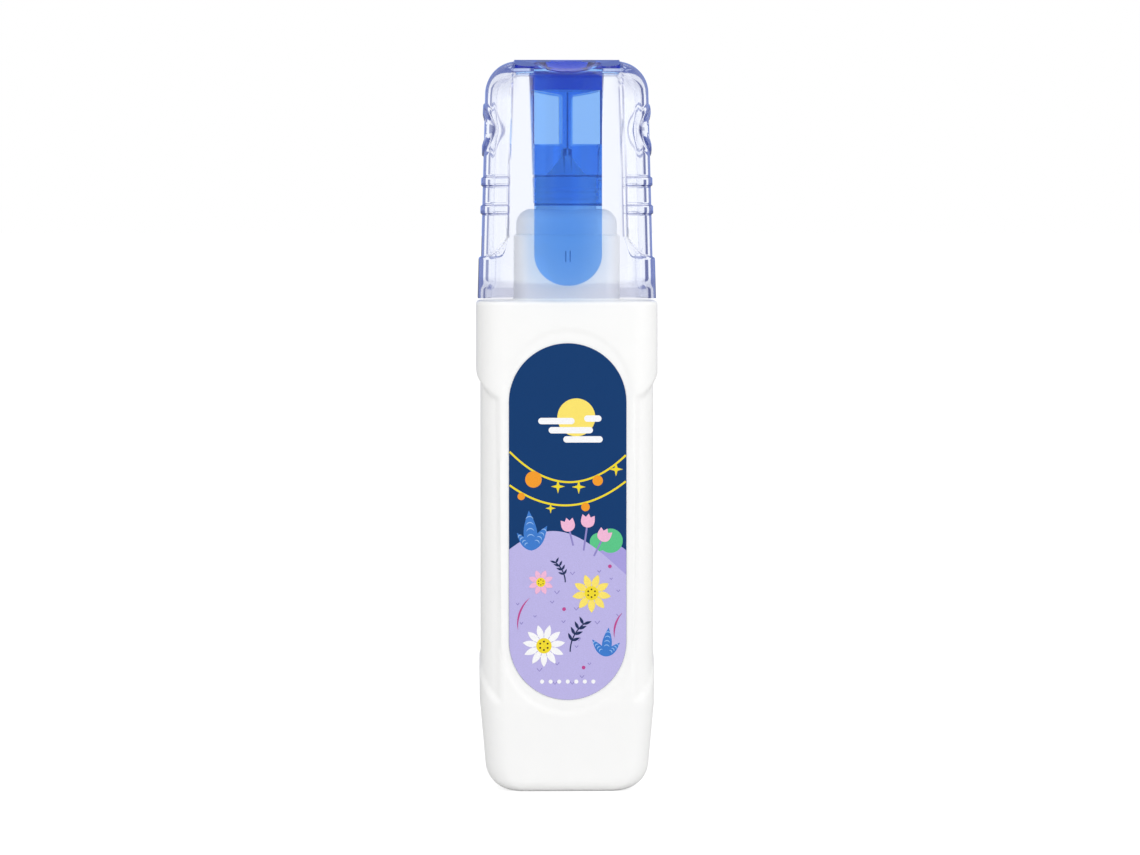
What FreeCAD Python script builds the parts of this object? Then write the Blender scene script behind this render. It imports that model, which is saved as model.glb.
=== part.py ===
import FreeCAD, Part
import math
import os

# Correction fluid bottle with a clear overcap, a blue clip insert and a needle valve.
# Millimetres, +Z up. The origin is the centre of the base, and the label and clip face -Y.

# Small clearances
seat_gap = 0.05            # between a moving piece and the seat that stops it
press_gap = 0.02           # a side, in a push fit between pieces that stay together
pin_gap = 0.07             # a side, around the needle's pin in the tip

# Spring and needle
wire_diameter = 0.35
coil_diameter = 2.7        # across the middle of the wire
coil_turns = 8
pin_diameter = 0.76
pin_showing = 0.4          # how far the pin stands out of the tip, and so its travel
stem_gap = 0.4             # a side, between the stem and the inside of the spring
stem_length = 3.0
flange_thickness = 0.5
flange_gap = 0.3           # a side, between the needle's flange and the cage
flange_drop = 0.5          # from the tip's lower end down to the flange

# Spring cage, pushed into the plug from below
cage_room = 0.6            # a side, around the spring
cage_wall = 0.75
cage_length = 11.6
cage_floor = 0.8
cage_hole_diameter = 1.8
cage_slot_width = 1.6
cage_slot_height = 6.0

# Metal tip
tip_shank_length = 2.6
tip_shank_wall = 0.6
tip_seat_height = 2.0      # from the shank's lower end up to the cone that the needle closes
tip_seat_length = 1.4
tip_collar_lip = 0.6
tip_collar_height = 0.5
tip_cone_inset = 0.2
tip_height = 4.3           # above the nose
tip_end_wall = 0.3
tip_end_length = 1.1

# White plug and its nose
nose_wall = 1.35
nose_height = 5.4
bead_rise = 0.25
bead_height = 0.5
bead_low = 1.9             # from the nose's foot to the middle of the lower bead
bead_pitch = 1.2
bead_count = 2
plug_step = 0.4            # a side, from the neck in to the plug
plug_height = 4.2
plug_edge_radius = 2.5
plug_wall = 1.0
plug_roof = 1.3
spigot_length = 6.0
tube_wall = 1.2

# Blue cap insert
sleeve_gap = 0.05          # a side, between the sleeve and the nose's beads
sleeve_wall = 0.9
sleeve_taper = 1.5         # how much wider the sleeve is at its top
sleeve_depth = 4.9         # how far the sleeve reaches down over the nose
seat_side_gap = 0.2
seat_end_gap = 0.2
seat_roof = 0.3
window_height = 8.8
window_crown = 1.0         # how much lower the window's arched top is at the post
window_wall = 0.55         # beside the window, at the sleeve's lower end
post_width = 1.6
web_height = 3.5
crown_width = 17.2
crown_lip = 0.3
crown_back_margin = 0.4     # behind the sleeve's top
crown_corner_radius = 3.0
clip_width = 11.0
clip_length = 36.9
clip_thickness = 1.5
clip_gap = 1.35            # from the cap's lower edge out to the clip
clip_bend_radius = 2.5
clip_ridge = 0.25
clip_tip_rise = 5.1        # height of the clip's rounded end
pad_radius = 1.05
pad_width = 5.0
pad_height = 4.9           # from the clip's lower end up to the pad

# Clear cap shell
cap_wall = 1.1
cap_side_recess = 0.4
cap_front_recess = 0.3
cap_sleeve_room = 0.1      # a side, between the sleeve's top and the cap
cap_depth_draft = 0.4      # a side, from the cap's top to its rim
cap_setback = 0.15         # front and back, from the bottle in to the cap
cap_side_setback = 0.25    # a side, from the shoulder in to the cap's rim
cap_width_draft = 1.0      # a side, from the rim in to the cap's top
cap_shoulder_radius = 5.0
cap_rim_gap = 0.4          # from the bottle's shoulder up to the rim
cap_roof = 1.6
crown_rise = 0.6           # how far the crown stands over the cap
crown_gap = 0.05
rim_band_height = 2.6
rim_band_depth = 0.35
band_low_width = 20.2      # front band between the side recesses, at the rim
band_top_width = 17.8
recess_low = 6.7           # from the rim to the recess, at the middle of the side
recess_low_rise = 3.0      # how much higher the recess starts at the front
rib_low = 13.8
rib_pitch = 4.6
rib_height = 1.4
rib_count = 2
relief_rise = 0.3          # how far the ribs and the oval stand out of the recess
oval_middle = 27.6         # from the rim to the oval's centre
oval_height = 8.8
oval_width = 13.6
oval_line = 0.9

# White bottle
bottle_height = 80.6
shoulder_width = 29.7
shoulder_band = 11.4
shoulder_edge_radius = 0.6
taper_height = 14.5
taper_inset = 0.55         # a side, from the shoulder in to the top of the base's taper
base_inset = 1.3           # a side, from there in to the base
base_step = 0.75           # a side, from the body's depth in to the base
base_side_radius = 4.4     # of the base's edge at the sides
base_face_radius = 2.0     # of the base's edge at the front and back
base_edge_steps = 6
corner_radius = 3.8
base_dish_inset = 1.6      # from the end of the standing face in to the dish
base_dish_side_inset = 1.3
base_dish_radius = 2.0
base_dish_depth = 0.5
floor_thickness = 1.6
floor_inset = 1.6          # a side, from the wall's thickness in to the floor's edge
floor_face_inset = 0.25    # the same at the front and back
bottle_wall = 1.2
grip_side_recess = 0.7     # from the shoulder band in to the grip
grip_front_recess = 0.35
grip_line_offset = 0.6     # from the flat of the front out to the grip's edge
grip_top_drop = 1.0        # from the shoulder band down to the top of the grip
grip_top_rise = 3.2
grip_low = 21.4
grip_low_rise = 6.7
neck_width = 17.3
neck_height = 10.8
neck_corner_radius = 4.5
neck_gap = 0.5             # a side, between the neck and the cap, front and back
neck_wall = 1.2

# Label
label_side_margin = 0.9
label_top_margin = 6.9
label_low_margin = 15.3
label_thickness = 0.12
panel_margin = 0.9         # a side, around the label
panel_end_margin = 2.3
panel_depth = 0.2

# Content
fluid_depth = 37.0
fluid_gap = 0.05
ball_diameter = 5.0
ball_gap = 0.05
ball_x = 5.0

# Sizes that follow, from the spring outwards
spring_outer = coil_diameter + wire_diameter
cage_inner = spring_outer + 2 * cage_room
cage_outer = cage_inner + 2 * cage_wall
chamber_diameter = cage_outer + 2 * press_gap
nose_diameter = chamber_diameter + 2 * nose_wall
bead_diameter = nose_diameter + 2 * bead_rise
sleeve_bore = bead_diameter + 2 * sleeve_gap
sleeve_low_diameter = sleeve_bore + 2 * sleeve_wall
sleeve_top_diameter = sleeve_low_diameter + sleeve_taper
cap_front_skin = cap_wall + cap_front_recess
cap_top_depth = sleeve_top_diameter + 2 * cap_sleeve_room + 2 * cap_front_skin
cap_rim_depth = cap_top_depth + 2 * cap_depth_draft
body_depth = cap_rim_depth + 2 * cap_setback
neck_depth = cap_rim_depth - 2 * cap_front_skin - 2 * neck_gap

# Widths that follow from the shoulder
taper_width = shoulder_width - 2 * taper_inset
base_width = taper_width - 2 * base_inset
grip_width = shoulder_width - 2 * grip_side_recess
cap_rim_width = shoulder_width - 2 * cap_side_setback
cap_top_width = cap_rim_width - 2 * cap_width_draft

base_depth = body_depth - 2 * base_step

# Heights that follow, from the base up
neck_top = bottle_height + neck_height
plug_top = neck_top + plug_height
nose_top = plug_top + nose_height
tip_base = nose_top - tip_shank_length
tip_top = nose_top + tip_height
pin_top = tip_top + pin_showing
seat_top = pin_top + seat_end_gap
window_low = seat_top + seat_roof
window_top = window_low + window_height
crown_low = window_top + web_height
crown_top = crown_low + clip_thickness
cap_top = crown_top - crown_rise
cap_rim = bottle_height + cap_rim_gap
clip_end = crown_top - clip_length

# Places on the front
front_y = -body_depth / 2
clip_inner_y = -cap_rim_depth / 2 - clip_gap
clip_outer_y = clip_inner_y - clip_thickness
flat_half = taper_width / 2 - corner_radius
grip_line_x = flat_half + grip_line_offset
label_width = 2 * (flat_half - label_side_margin)
label_low = label_low_margin
label_top = bottle_height - label_top_margin

far = 200.0                # longer than the object, for cutting shapes
past = 0.5                 # how far a cutting shape runs past a face


def vec(x, y, z):
    return FreeCAD.Vector(x, y, z)


def line(a, b):
    return Part.LineSegment(a, b).toShape()


def arc(a, middle, b):
    return Part.Arc(a, middle, b).toShape()


def prism(edges, direction):
    """A solid from a closed outline, pushed along a direction."""
    face = Part.Face(Part.Wire(edges))
    return face.extrude(direction)


def polygon(points):
    closed = points + [points[0]]
    return [line(a, b) for a, b in zip(closed, closed[1:])]


def box(x_low, x_high, y_low, y_high, z_low, z_high):
    size = (x_high - x_low, y_high - y_low, z_high - z_low)
    return Part.makeBox(*size, vec(x_low, y_low, z_low))


def rod(diameter, z_low, z_high):
    return Part.makeCylinder(diameter / 2, z_high - z_low, vec(0, 0, z_low))


def turned(points):
    """A turned piece from its outline as (radius, height) pairs."""
    outline = [vec(radius, 0, height) for radius, height in points]
    face = Part.Face(Part.Wire(polygon(outline)))
    return face.revolve(vec(0, 0, 0), vec(0, 0, 1), 360)


def section(width, depth, radius, z):
    """A rectangle with round corners, lying level at height z."""
    x, y = width / 2, depth / 2
    inner_x, inner_y = x - radius, y - radius
    bulge = radius * math.sqrt(0.5)
    edges = []
    for sign_x, sign_y in ((1, 1), (-1, 1), (-1, -1), (1, -1)):
        on_side = vec(sign_x * x, sign_y * inner_y, z)
        on_face = vec(sign_x * inner_x, sign_y * y, z)
        middle = vec(sign_x * (inner_x + bulge), sign_y * (inner_y + bulge), z)
        if sign_x * sign_y > 0:
            edges.append((on_side, middle, on_face))
        else:
            edges.append((on_face, middle, on_side))
    wire = []
    for corner, following in zip(edges, edges[1:] + edges[:1]):
        wire.append(arc(*corner))
        wire.append(line(corner[2], following[0]))
    return Part.Wire(wire)


def drafted(*sections):
    """A solid with straight walls between level sections."""
    return Part.makeLoft([section(*each) for each in sections], True, True)


def both_sides(shape):
    return shape.fuse(shape.mirror(vec(0, 0, 0), vec(1, 0, 0)))


def arch_edge(middle, end, half_span, reach):
    """A parabola in the side view, from -reach to reach, that passes end at half_span."""
    ends = middle + (end - middle) * (reach / half_span) ** 2
    curve = Part.BezierCurve()
    curve.setPoles([vec(0, -reach, ends), vec(0, 0, 2 * middle - ends), vec(0, reach, ends)])
    return curve.toShape()


def stadium(width, low, high, y_front, thickness):
    """An upright plate with full round ends, its face at y_front."""
    radius = width / 2
    corners = [
        vec(-radius, y_front, low + radius),
        vec(-radius, y_front, high - radius),
        vec(radius, y_front, high - radius),
        vec(radius, y_front, low + radius),
    ]
    edges = [
        line(corners[0], corners[1]),
        arc(corners[1], vec(0, y_front, high), corners[2]),
        line(corners[2], corners[3]),
        arc(corners[3], vec(0, y_front, low), corners[0]),
    ]
    return prism(edges, vec(0, thickness, 0))


def edges_at(shape, z):
    """The edges that lie level at height z."""
    near = 1e-4
    return [e for e in shape.Edges if abs(e.BoundBox.ZMin - z) < near and abs(e.BoundBox.ZMax - z) < near]


def taper_size(z):
    """Width and depth of the bottle's wall at a height in the base's taper."""
    share = z / taper_height
    width = base_width + (taper_width - base_width) * share
    return width, base_depth + (body_depth - base_depth) * share


def bottle_cavity(gap, top):
    """The hollow of the bottle up to a height, made smaller by a gap all round."""
    skin = bottle_wall + grip_front_recess
    depth = body_depth - 2 * skin
    radius = corner_radius - bottle_wall
    foot_width, foot_depth = taper_size(base_side_radius)
    foot_width -= 2 * (bottle_wall + gap)
    foot_depth -= 2 * (skin + gap)
    width = grip_width - 2 * bottle_wall
    low = drafted(
        (foot_width - 2 * floor_inset, foot_depth - 2 * floor_face_inset, radius, floor_thickness + gap),
        (foot_width, foot_depth, radius, base_side_radius),
        (width - 2 * gap, depth - 2 * gap, radius, taper_height),
    )
    high = drafted(
        (width - 2 * gap, depth - 2 * gap, radius, taper_height),
        (width - 2 * gap, depth - 2 * gap, radius, top),
    )
    return low.fuse(high)


def bottle_grips(body):
    """What the side grips take off the body."""
    reach = body_depth / 2 + past
    shoulder_low = bottle_height - shoulder_band
    top = shoulder_low - grip_top_drop
    top_arc = arch_edge(top, top - grip_top_rise, body_depth / 2, reach)
    low_arc = arch_edge(grip_low, grip_low - grip_low_rise, body_depth / 2, reach)
    top_ends = [v.Point for v in top_arc.Vertexes]
    low_ends = [v.Point for v in low_arc.Vertexes]
    outline = [low_arc, line(low_ends[1], top_ends[1]), top_arc, line(top_ends[0], low_ends[0])]
    side = prism(outline, vec(far, 0, 0))
    side.translate(vec(grip_line_x, 0, 0))
    waist_size = (grip_width, body_depth - 2 * grip_front_recess, corner_radius - grip_front_recess)
    waist = drafted((*waist_size, 0), (*waist_size, far))
    return both_sides(side).cut(waist)


def edge_inset(radius, z):
    """How far a round lower edge lies in from the wall at a height."""
    drop = max(radius - z, 0)
    return radius - math.sqrt(radius ** 2 - drop ** 2)


def bottle_foot():
    """The lowest part of the bottle, rounder at the sides than at the front and back."""
    sections = []
    for step in range(base_edge_steps + 1):
        angle = math.pi / 2 * step / base_edge_steps
        z = base_side_radius * (1 - math.cos(angle))
        width, depth = taper_size(z)
        side = edge_inset(base_side_radius, z)
        face = edge_inset(base_face_radius, z)
        sections.append(section(width - 2 * side, depth - 2 * face, corner_radius - face, z))
    return Part.makeLoft(sections, True, False)


def bottle_shell():
    shoulder_low = bottle_height - shoulder_band
    lower = drafted(
        (*taper_size(base_side_radius), corner_radius, base_side_radius),
        (taper_width, body_depth, corner_radius, taper_height),
        (shoulder_width, body_depth, corner_radius, shoulder_low),
        (shoulder_width, body_depth, corner_radius, bottle_height),
    )
    body = lower.makeFillet(shoulder_edge_radius, edges_at(lower, bottle_height))
    body = body.fuse(bottle_foot())
    body = body.cut(bottle_grips(body))
    panel_width = label_width + 2 * panel_margin
    panel_low = label_low - panel_end_margin
    panel_high = label_top + panel_end_margin
    for face_y, inward in ((front_y, panel_depth), (-front_y, -panel_depth)):
        body = body.cut(stadium(panel_width, panel_low, panel_high, face_y, inward))
    dish_width = base_width - 2 * (base_side_radius + base_dish_inset)
    dish_depth = base_depth - 2 * (base_face_radius + base_dish_side_inset)
    body = body.cut(drafted(
        (dish_width + 2 * base_dish_depth, dish_depth + 2 * base_dish_depth, base_dish_radius, 0),
        (dish_width, dish_depth, base_dish_radius, base_dish_depth),
    ))
    body = body.fuse(drafted(
        (neck_width, neck_depth, neck_corner_radius, bottle_height - bottle_wall),
        (neck_width, neck_depth, neck_corner_radius, neck_top),
    ))
    body = body.cut(bottle_cavity(0, bottle_height - bottle_wall))
    return body.cut(neck_bore(0, bottle_height - 2 * bottle_wall, neck_top))


def neck_bore(gap, low, high):
    inset = 2 * (neck_wall + gap)
    size = (neck_width - inset, neck_depth - inset, neck_corner_radius - neck_wall)
    return drafted((*size, low), (*size, high))


def front_label():
    face_y = front_y + panel_depth - label_thickness
    return stadium(label_width, label_low, label_top, face_y, label_thickness)


def nozzle_plug():
    width = neck_width - 2 * plug_step
    depth = neck_depth - 2 * plug_step
    radius = neck_corner_radius - plug_step
    cover = drafted((width, depth, radius, neck_top), (width, depth, radius, plug_top))
    cover = cover.makeFillet(plug_edge_radius, edges_at(cover, plug_top))
    plug = cover.fuse(neck_bore(press_gap, neck_top - spigot_length, neck_top))
    plug = plug.cut(neck_bore(press_gap + plug_wall, neck_top - spigot_length, plug_top - plug_roof))
    cage_low = tip_base - cage_length
    tube_diameter = chamber_diameter + 2 * tube_wall
    plug = plug.fuse(rod(tube_diameter, cage_low, plug_top - plug_roof / 2))
    plug = plug.fuse(rod(nose_diameter, plug_top - plug_roof, nose_top))
    for number in range(bead_count):
        middle = plug_top + bead_low + number * bead_pitch
        plug = plug.fuse(turned([
            (0, middle - bead_height),
            (nose_diameter / 2, middle - bead_height),
            (bead_diameter / 2, middle - bead_height / 4),
            (bead_diameter / 2, middle + bead_height / 4),
            (nose_diameter / 2, middle + bead_height),
            (0, middle + bead_height),
        ]))
    plug = plug.cut(rod(chamber_diameter, cage_low - past, tip_base))
    plug = plug.cut(rod(cage_inner + 2 * press_gap, tip_base, nose_top + past))
    return plug.removeSplitter()


def tip_seat_radius(height):
    """Radius of the tip's inner cone at a height over the tip's lower end."""
    wide = cage_inner / 2 - tip_shank_wall
    narrow = pin_diameter / 2 + pin_gap
    share = (height - tip_seat_height) / tip_seat_length
    return wide + (narrow - wide) * share


def metal_tip():
    shank = cage_inner / 2
    collar = shank + tip_collar_lip
    bore = pin_diameter / 2 + pin_gap
    end = bore + tip_end_wall
    inside = shank - tip_shank_wall
    return turned([
        (inside, tip_base),
        (shank, tip_base),
        (shank, nose_top),
        (collar, nose_top),
        (collar, nose_top + tip_collar_height),
        (collar - tip_cone_inset, nose_top + tip_collar_height),
        (end, tip_top - tip_end_length),
        (end, tip_top),
        (bore, tip_top),
        (bore, tip_base + tip_seat_height + tip_seat_length),
        (inside, tip_base + tip_seat_height),
    ])


def needle_neck_radius():
    return (cage_inner / 2 - tip_shank_wall) - stem_gap


def valve_needle():
    pin = pin_diameter / 2
    neck = needle_neck_radius()
    flange = cage_inner / 2 - flange_gap
    stem = (coil_diameter - wire_diameter) / 2 - stem_gap
    flange_top = tip_base - flange_drop
    flange_low = flange_top - flange_thickness
    wide = tip_seat_radius(tip_seat_height)
    narrow = tip_seat_radius(tip_seat_height + tip_seat_length)
    slope = tip_seat_length / (wide - narrow)
    seat_low = tip_base + tip_seat_height - seat_gap
    return turned([
        (0, flange_low - stem_length),
        (stem, flange_low - stem_length),
        (stem, flange_low),
        (flange, flange_low),
        (flange, flange_top),
        (neck, flange_top),
        (neck, seat_low + (wide - neck) * slope),
        (pin, seat_low + (wide - pin) * slope),
        (pin, pin_top),
        (0, pin_top),
    ])


def valve_spring():
    low = tip_base - cage_length + cage_floor + wire_diameter / 2 + press_gap
    high = tip_base - flange_drop - flange_thickness - wire_diameter / 2 - press_gap
    length = high - low
    path = Part.makeHelix(length / coil_turns, length, coil_diameter / 2)
    path.translate(vec(0, 0, low))
    start = vec(coil_diameter / 2, 0, low)
    pitch_angle = math.atan2(length / coil_turns, math.pi * coil_diameter)
    along = vec(0, math.cos(pitch_angle), math.sin(pitch_angle))
    profile = Part.Wire(Part.Circle(start, along, wire_diameter / 2).toShape())
    return Part.Solid(Part.Wire(path).makePipeShell([profile], True, True))


def spring_cage():
    low = tip_base - cage_length
    cage = rod(cage_outer, low, tip_base)
    cage = cage.cut(rod(cage_inner, low + cage_floor, tip_base + past))
    cage = cage.cut(rod(cage_hole_diameter, low - past, low + cage_floor + past))
    slot_low = low + cage_floor
    slot_high = slot_low + cage_slot_height
    reach, half = cage_outer, cage_slot_width / 2
    return cage.cut(box(-reach, reach, -half, half, slot_low, slot_high))


def ball_centre():
    return vec(ball_x, 0, floor_thickness + ball_gap + ball_diameter / 2)


def mixing_ball():
    return Part.makeSphere(ball_diameter / 2, ball_centre())


def correction_fluid():
    fluid = bottle_cavity(fluid_gap, floor_thickness + fluid_depth)
    pocket = Part.makeSphere(ball_diameter / 2 + ball_gap, ball_centre())
    return fluid.cut(pocket)


def cap_level(side_inset, front_inset, rim, top, shoulder_radius):
    """The cap's outer form, moved in by an amount at the sides and at the front and back."""
    height = cap_top - cap_rim
    radius = corner_radius - max(side_inset, front_inset)

    def share(z):
        return (z - cap_rim) / height

    def size(z):
        width = cap_rim_width + (cap_top_width - cap_rim_width) * share(z)
        depth = cap_rim_depth + (cap_top_depth - cap_rim_depth) * share(z)
        return width - 2 * side_inset, depth - 2 * front_inset, radius, z

    solid = drafted(size(rim), size(top))
    half = size(top)[0] / 2
    bulge = shoulder_radius * (1 - math.sqrt(0.5))
    wide = far / 2
    above = top + past
    corner = [
        line(vec(half, -wide, top - shoulder_radius), vec(wide, -wide, top - shoulder_radius)),
        line(vec(wide, -wide, top - shoulder_radius), vec(wide, -wide, above)),
        line(vec(wide, -wide, above), vec(half - shoulder_radius, -wide, above)),
        line(vec(half - shoulder_radius, -wide, above), vec(half - shoulder_radius, -wide, top)),
        arc(
            vec(half - shoulder_radius, -wide, top),
            vec(half - bulge, -wide, top - bulge),
            vec(half, -wide, top - shoulder_radius),
        ),
    ]
    return solid.cut(both_sides(prism(corner, vec(0, far, 0))))


def cap_recess_region():
    """The space of the two side recesses, before the recessed wall is kept."""
    reach = cap_rim_depth / 2 + past
    low = cap_rim + recess_low
    low_arc = arch_edge(low, low + recess_low_rise, cap_rim_depth / 2, reach)
    ends = [v.Point for v in low_arc.Vertexes]
    above = cap_top + past
    outline = [
        low_arc,
        line(ends[1], vec(0, reach, above)),
        line(vec(0, reach, above), vec(0, -reach, above)),
        line(vec(0, -reach, above), ends[0]),
    ]
    side = prism(outline, vec(far, 0, 0))
    low_x, top_x = band_low_width / 2, band_top_width / 2
    outward = prism(polygon([
        vec(low_x, -reach, cap_rim),
        vec(far, -reach, cap_rim),
        vec(far, -reach, above),
        vec(top_x, -reach, above),
    ]), vec(0, 2 * reach, 0))
    return side.common(outward)


def cap_relief_bands():
    """Where the ribs and the oval line stand out of the recess, as bands through the cap."""
    bands = []
    for number in range(rib_count):
        low = cap_rim + rib_low + number * rib_pitch
        bands.append(box(0, far, -far / 2, far / 2, low, low + rib_height))
    middle = vec(0, 0, cap_rim + oval_middle)
    outer = Part.Ellipse(middle, oval_width / 2, oval_height / 2)
    inner = Part.Ellipse(middle, oval_width / 2 - oval_line, oval_height / 2 - oval_line)
    rings = []
    for ellipse in (outer, inner):
        plate = Part.Face(Part.Wire(ellipse.toShape()))
        plate.rotate(middle, vec(0, 0, 1), 90)
        plate.rotate(middle, vec(0, 1, 0), 90)
        rings.append(plate.extrude(vec(far, 0, 0)))
    bands.append(rings[0].cut(rings[1]))
    return bands


def crown_profile(gap, low):
    """The crown from the front: a flat top with hollow flanks that run into the clip."""
    top_half = crown_width / 2 + gap
    clip_half = clip_width / 2 + gap
    flank_top = crown_top - crown_lip
    flank_low = crown_top - clip_bend_radius
    waist_x = top_half - (top_half - clip_half) * math.sqrt(0.5)
    waist_z = flank_low + (flank_top - flank_low) * math.sqrt(0.5)
    y = -far / 2
    edges = [
        line(vec(-top_half, y, crown_top + gap), vec(top_half, y, crown_top + gap)),
        line(vec(top_half, y, crown_top + gap), vec(top_half, y, flank_top)),
        arc(vec(top_half, y, flank_top), vec(waist_x, y, waist_z), vec(clip_half, y, flank_low)),
        line(vec(clip_half, y, flank_low), vec(clip_half, y, low)),
        line(vec(clip_half, y, low), vec(-clip_half, y, low)),
        line(vec(-clip_half, y, low), vec(-clip_half, y, flank_low)),
        arc(vec(-clip_half, y, flank_low), vec(-waist_x, y, waist_z), vec(-top_half, y, flank_top)),
        line(vec(-top_half, y, flank_top), vec(-top_half, y, crown_top + gap)),
    ]
    return prism(edges, vec(0, far, 0))


def crown_back():
    return sleeve_top_diameter / 2 + crown_back_margin


def crown_plan(gap, low):
    """The crown from above: square where the clip leaves it, with round corners at the back."""
    half, back = crown_width / 2 + gap, crown_back() + gap
    size = (2 * half, 2 * back, crown_corner_radius)
    rear = drafted((*size, low), (*size, far))
    return rear.fuse(box(-half, half, clip_outer_y - past, 0, low, far))


def cap_shell():
    outer = cap_level(0, 0, cap_rim, cap_top, cap_shoulder_radius)
    recessed_radius = cap_shoulder_radius - cap_side_recess
    recessed = cap_level(cap_side_recess, cap_front_recess, cap_rim, cap_top, recessed_radius)
    side_rise = cap_side_recess - relief_rise
    front_rise = max(cap_front_recess - relief_rise, 0)
    raised = cap_level(side_rise, front_rise, cap_rim, cap_top, cap_shoulder_radius - side_rise)
    region = cap_recess_region()
    for band in cap_relief_bands():
        recessed = recessed.fuse(raised.common(band))
    shell = outer.cut(both_sides(region.cut(recessed)))
    side_skin = cap_wall + cap_side_recess
    inner_radius = cap_shoulder_radius - side_skin
    hollow = cap_level(side_skin, cap_front_skin, cap_rim, cap_top - cap_roof, inner_radius)
    shell = shell.cut(hollow)
    band_skins = (side_skin - rim_band_depth, cap_front_skin - rim_band_depth)
    band_top = cap_rim + rim_band_height
    shell = shell.cut(cap_level(*band_skins, cap_rim, band_top, rim_band_depth))
    opening = crown_profile(crown_gap, crown_low - crown_gap)
    shell = shell.cut(opening.common(crown_plan(crown_gap, crown_low - crown_gap)))
    return shell.cut(rod(sleeve_top_diameter + 2 * crown_gap, cap_top - cap_roof - past, cap_top))


def clip_side_profile():
    """The crown and clip from the side, as one bent strip."""
    outer_radius = clip_bend_radius
    inner_radius = outer_radius - clip_thickness
    back = crown_back()
    turn_y = clip_outer_y + outer_radius
    turn_z = crown_top - outer_radius
    outer_bulge = outer_radius * math.sqrt(0.5)
    inner_bulge = inner_radius * math.sqrt(0.5)
    x = -crown_width / 2
    edges = [
        line(vec(x, back, crown_top), vec(x, turn_y, crown_top)),
        arc(
            vec(x, turn_y, crown_top),
            vec(x, turn_y - outer_bulge, turn_z + outer_bulge),
            vec(x, clip_outer_y, turn_z),
        ),
        line(vec(x, clip_outer_y, turn_z), vec(x, clip_outer_y, clip_end)),
        line(vec(x, clip_outer_y, clip_end), vec(x, clip_inner_y, clip_end)),
        line(vec(x, clip_inner_y, clip_end), vec(x, clip_inner_y, turn_z)),
        arc(
            vec(x, clip_inner_y, turn_z),
            vec(x, turn_y - inner_bulge, turn_z + inner_bulge),
            vec(x, turn_y, crown_low),
        ),
        line(vec(x, turn_y, crown_low), vec(x, back, crown_low)),
        line(vec(x, back, crown_low), vec(x, back, crown_top)),
    ]
    return prism(edges, vec(crown_width, 0, 0))


def clip_cutters():
    """What the two slanted facets and the round end take off the clip."""
    half = clip_width / 2
    facet_top = crown_top - clip_bend_radius
    outside = half + past
    facet = prism(polygon([
        vec(0, clip_outer_y, clip_end),
        vec(outside, clip_outer_y, clip_end),
        vec(outside, clip_outer_y + clip_ridge * outside / half, clip_end),
    ]), vec(0, 0, facet_top - clip_end))
    edge_z = clip_end + clip_tip_rise
    y = clip_outer_y - past
    below = clip_end - past
    end = prism([
        line(vec(half, y, edge_z), vec(half, y, below)),
        line(vec(half, y, below), vec(-half, y, below)),
        line(vec(-half, y, below), vec(-half, y, edge_z)),
        arc(vec(-half, y, edge_z), vec(0, y, clip_end), vec(half, y, edge_z)),
    ], vec(0, clip_thickness + 2 * past, 0))
    return [both_sides(facet), end]


def insert_sleeve():
    """The tapered sleeve with its windows, and the seat that closes over the tip."""
    low = plug_top + nose_height - sleeve_depth
    sleeve = turned([
        (0, low),
        (sleeve_low_diameter / 2, low),
        (sleeve_top_diameter / 2, crown_low),
        (0, crown_low),
    ])
    socket_top = nose_top + seat_end_gap
    shank = cage_inner / 2 + tip_collar_lip + seat_side_gap
    end = pin_diameter / 2 + pin_gap + tip_end_wall + seat_side_gap
    sleeve = sleeve.cut(turned([
        (0, low),
        (sleeve_bore / 2, low),
        (sleeve_bore / 2, socket_top),
        (shank, socket_top),
        (shank, socket_top + tip_collar_height),
        (end, tip_top - tip_end_length + seat_side_gap),
        (end, seat_top),
        (0, seat_top),
    ]))
    wide = sleeve_low_diameter / 2 - window_wall
    reach = sleeve_top_diameter
    for side in (1, -1):
        inner_x, outer_x = side * post_width / 2, side * wide
        arch_x = side * (post_width / 2 + wide) / 2
        lean = window_crown / 4
        window = [
            line(vec(inner_x, -reach, window_low), vec(outer_x, -reach, window_low)),
            line(vec(outer_x, -reach, window_low), vec(outer_x, -reach, window_top)),
            arc(
                vec(outer_x, -reach, window_top),
                vec(arch_x, -reach, window_top - window_crown / 2 - lean),
                vec(inner_x, -reach, window_top - window_crown),
            ),
            line(vec(inner_x, -reach, window_top - window_crown), vec(inner_x, -reach, window_low)),
        ]
        sleeve = sleeve.cut(prism(window, vec(0, 2 * reach, 0)))
    return sleeve


def cap_insert():
    clip = clip_side_profile().common(crown_profile(0, clip_end - past))
    clip = clip.common(crown_plan(0, 0))
    for cutter in clip_cutters():
        clip = clip.cut(cutter)
    pad_end = vec(-pad_width / 2, clip_inner_y, clip_end + pad_height)
    pad = Part.makeCylinder(pad_radius, pad_width, pad_end, vec(1, 0, 0))
    inward = box(-far, far, clip_inner_y - clip_thickness / 2, far, 0, far)
    return clip.fuse(pad.common(inward)).fuse(insert_sleeve())


pieces = {
    "bottle_shell": bottle_shell,
    "front_label": front_label,
    "nozzle_plug": nozzle_plug,
    "metal_tip": metal_tip,
    "valve_needle": valve_needle,
    "valve_spring": valve_spring,
    "spring_cage": spring_cage,
    "mixing_ball": mixing_ball,
    "correction_fluid": correction_fluid,
    "cap_shell": cap_shell,
    "cap_insert": cap_insert,
}

os.makedirs("parts", exist_ok=True)
for name, make in pieces.items():
    shape = make()
    shape.exportStep(f"parts/{name}.step")
    print(f"{name}: valid {shape.isValid()}, solids {len(shape.Solids)}, volume {shape.Volume:.1f}")
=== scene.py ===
import math

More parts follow.
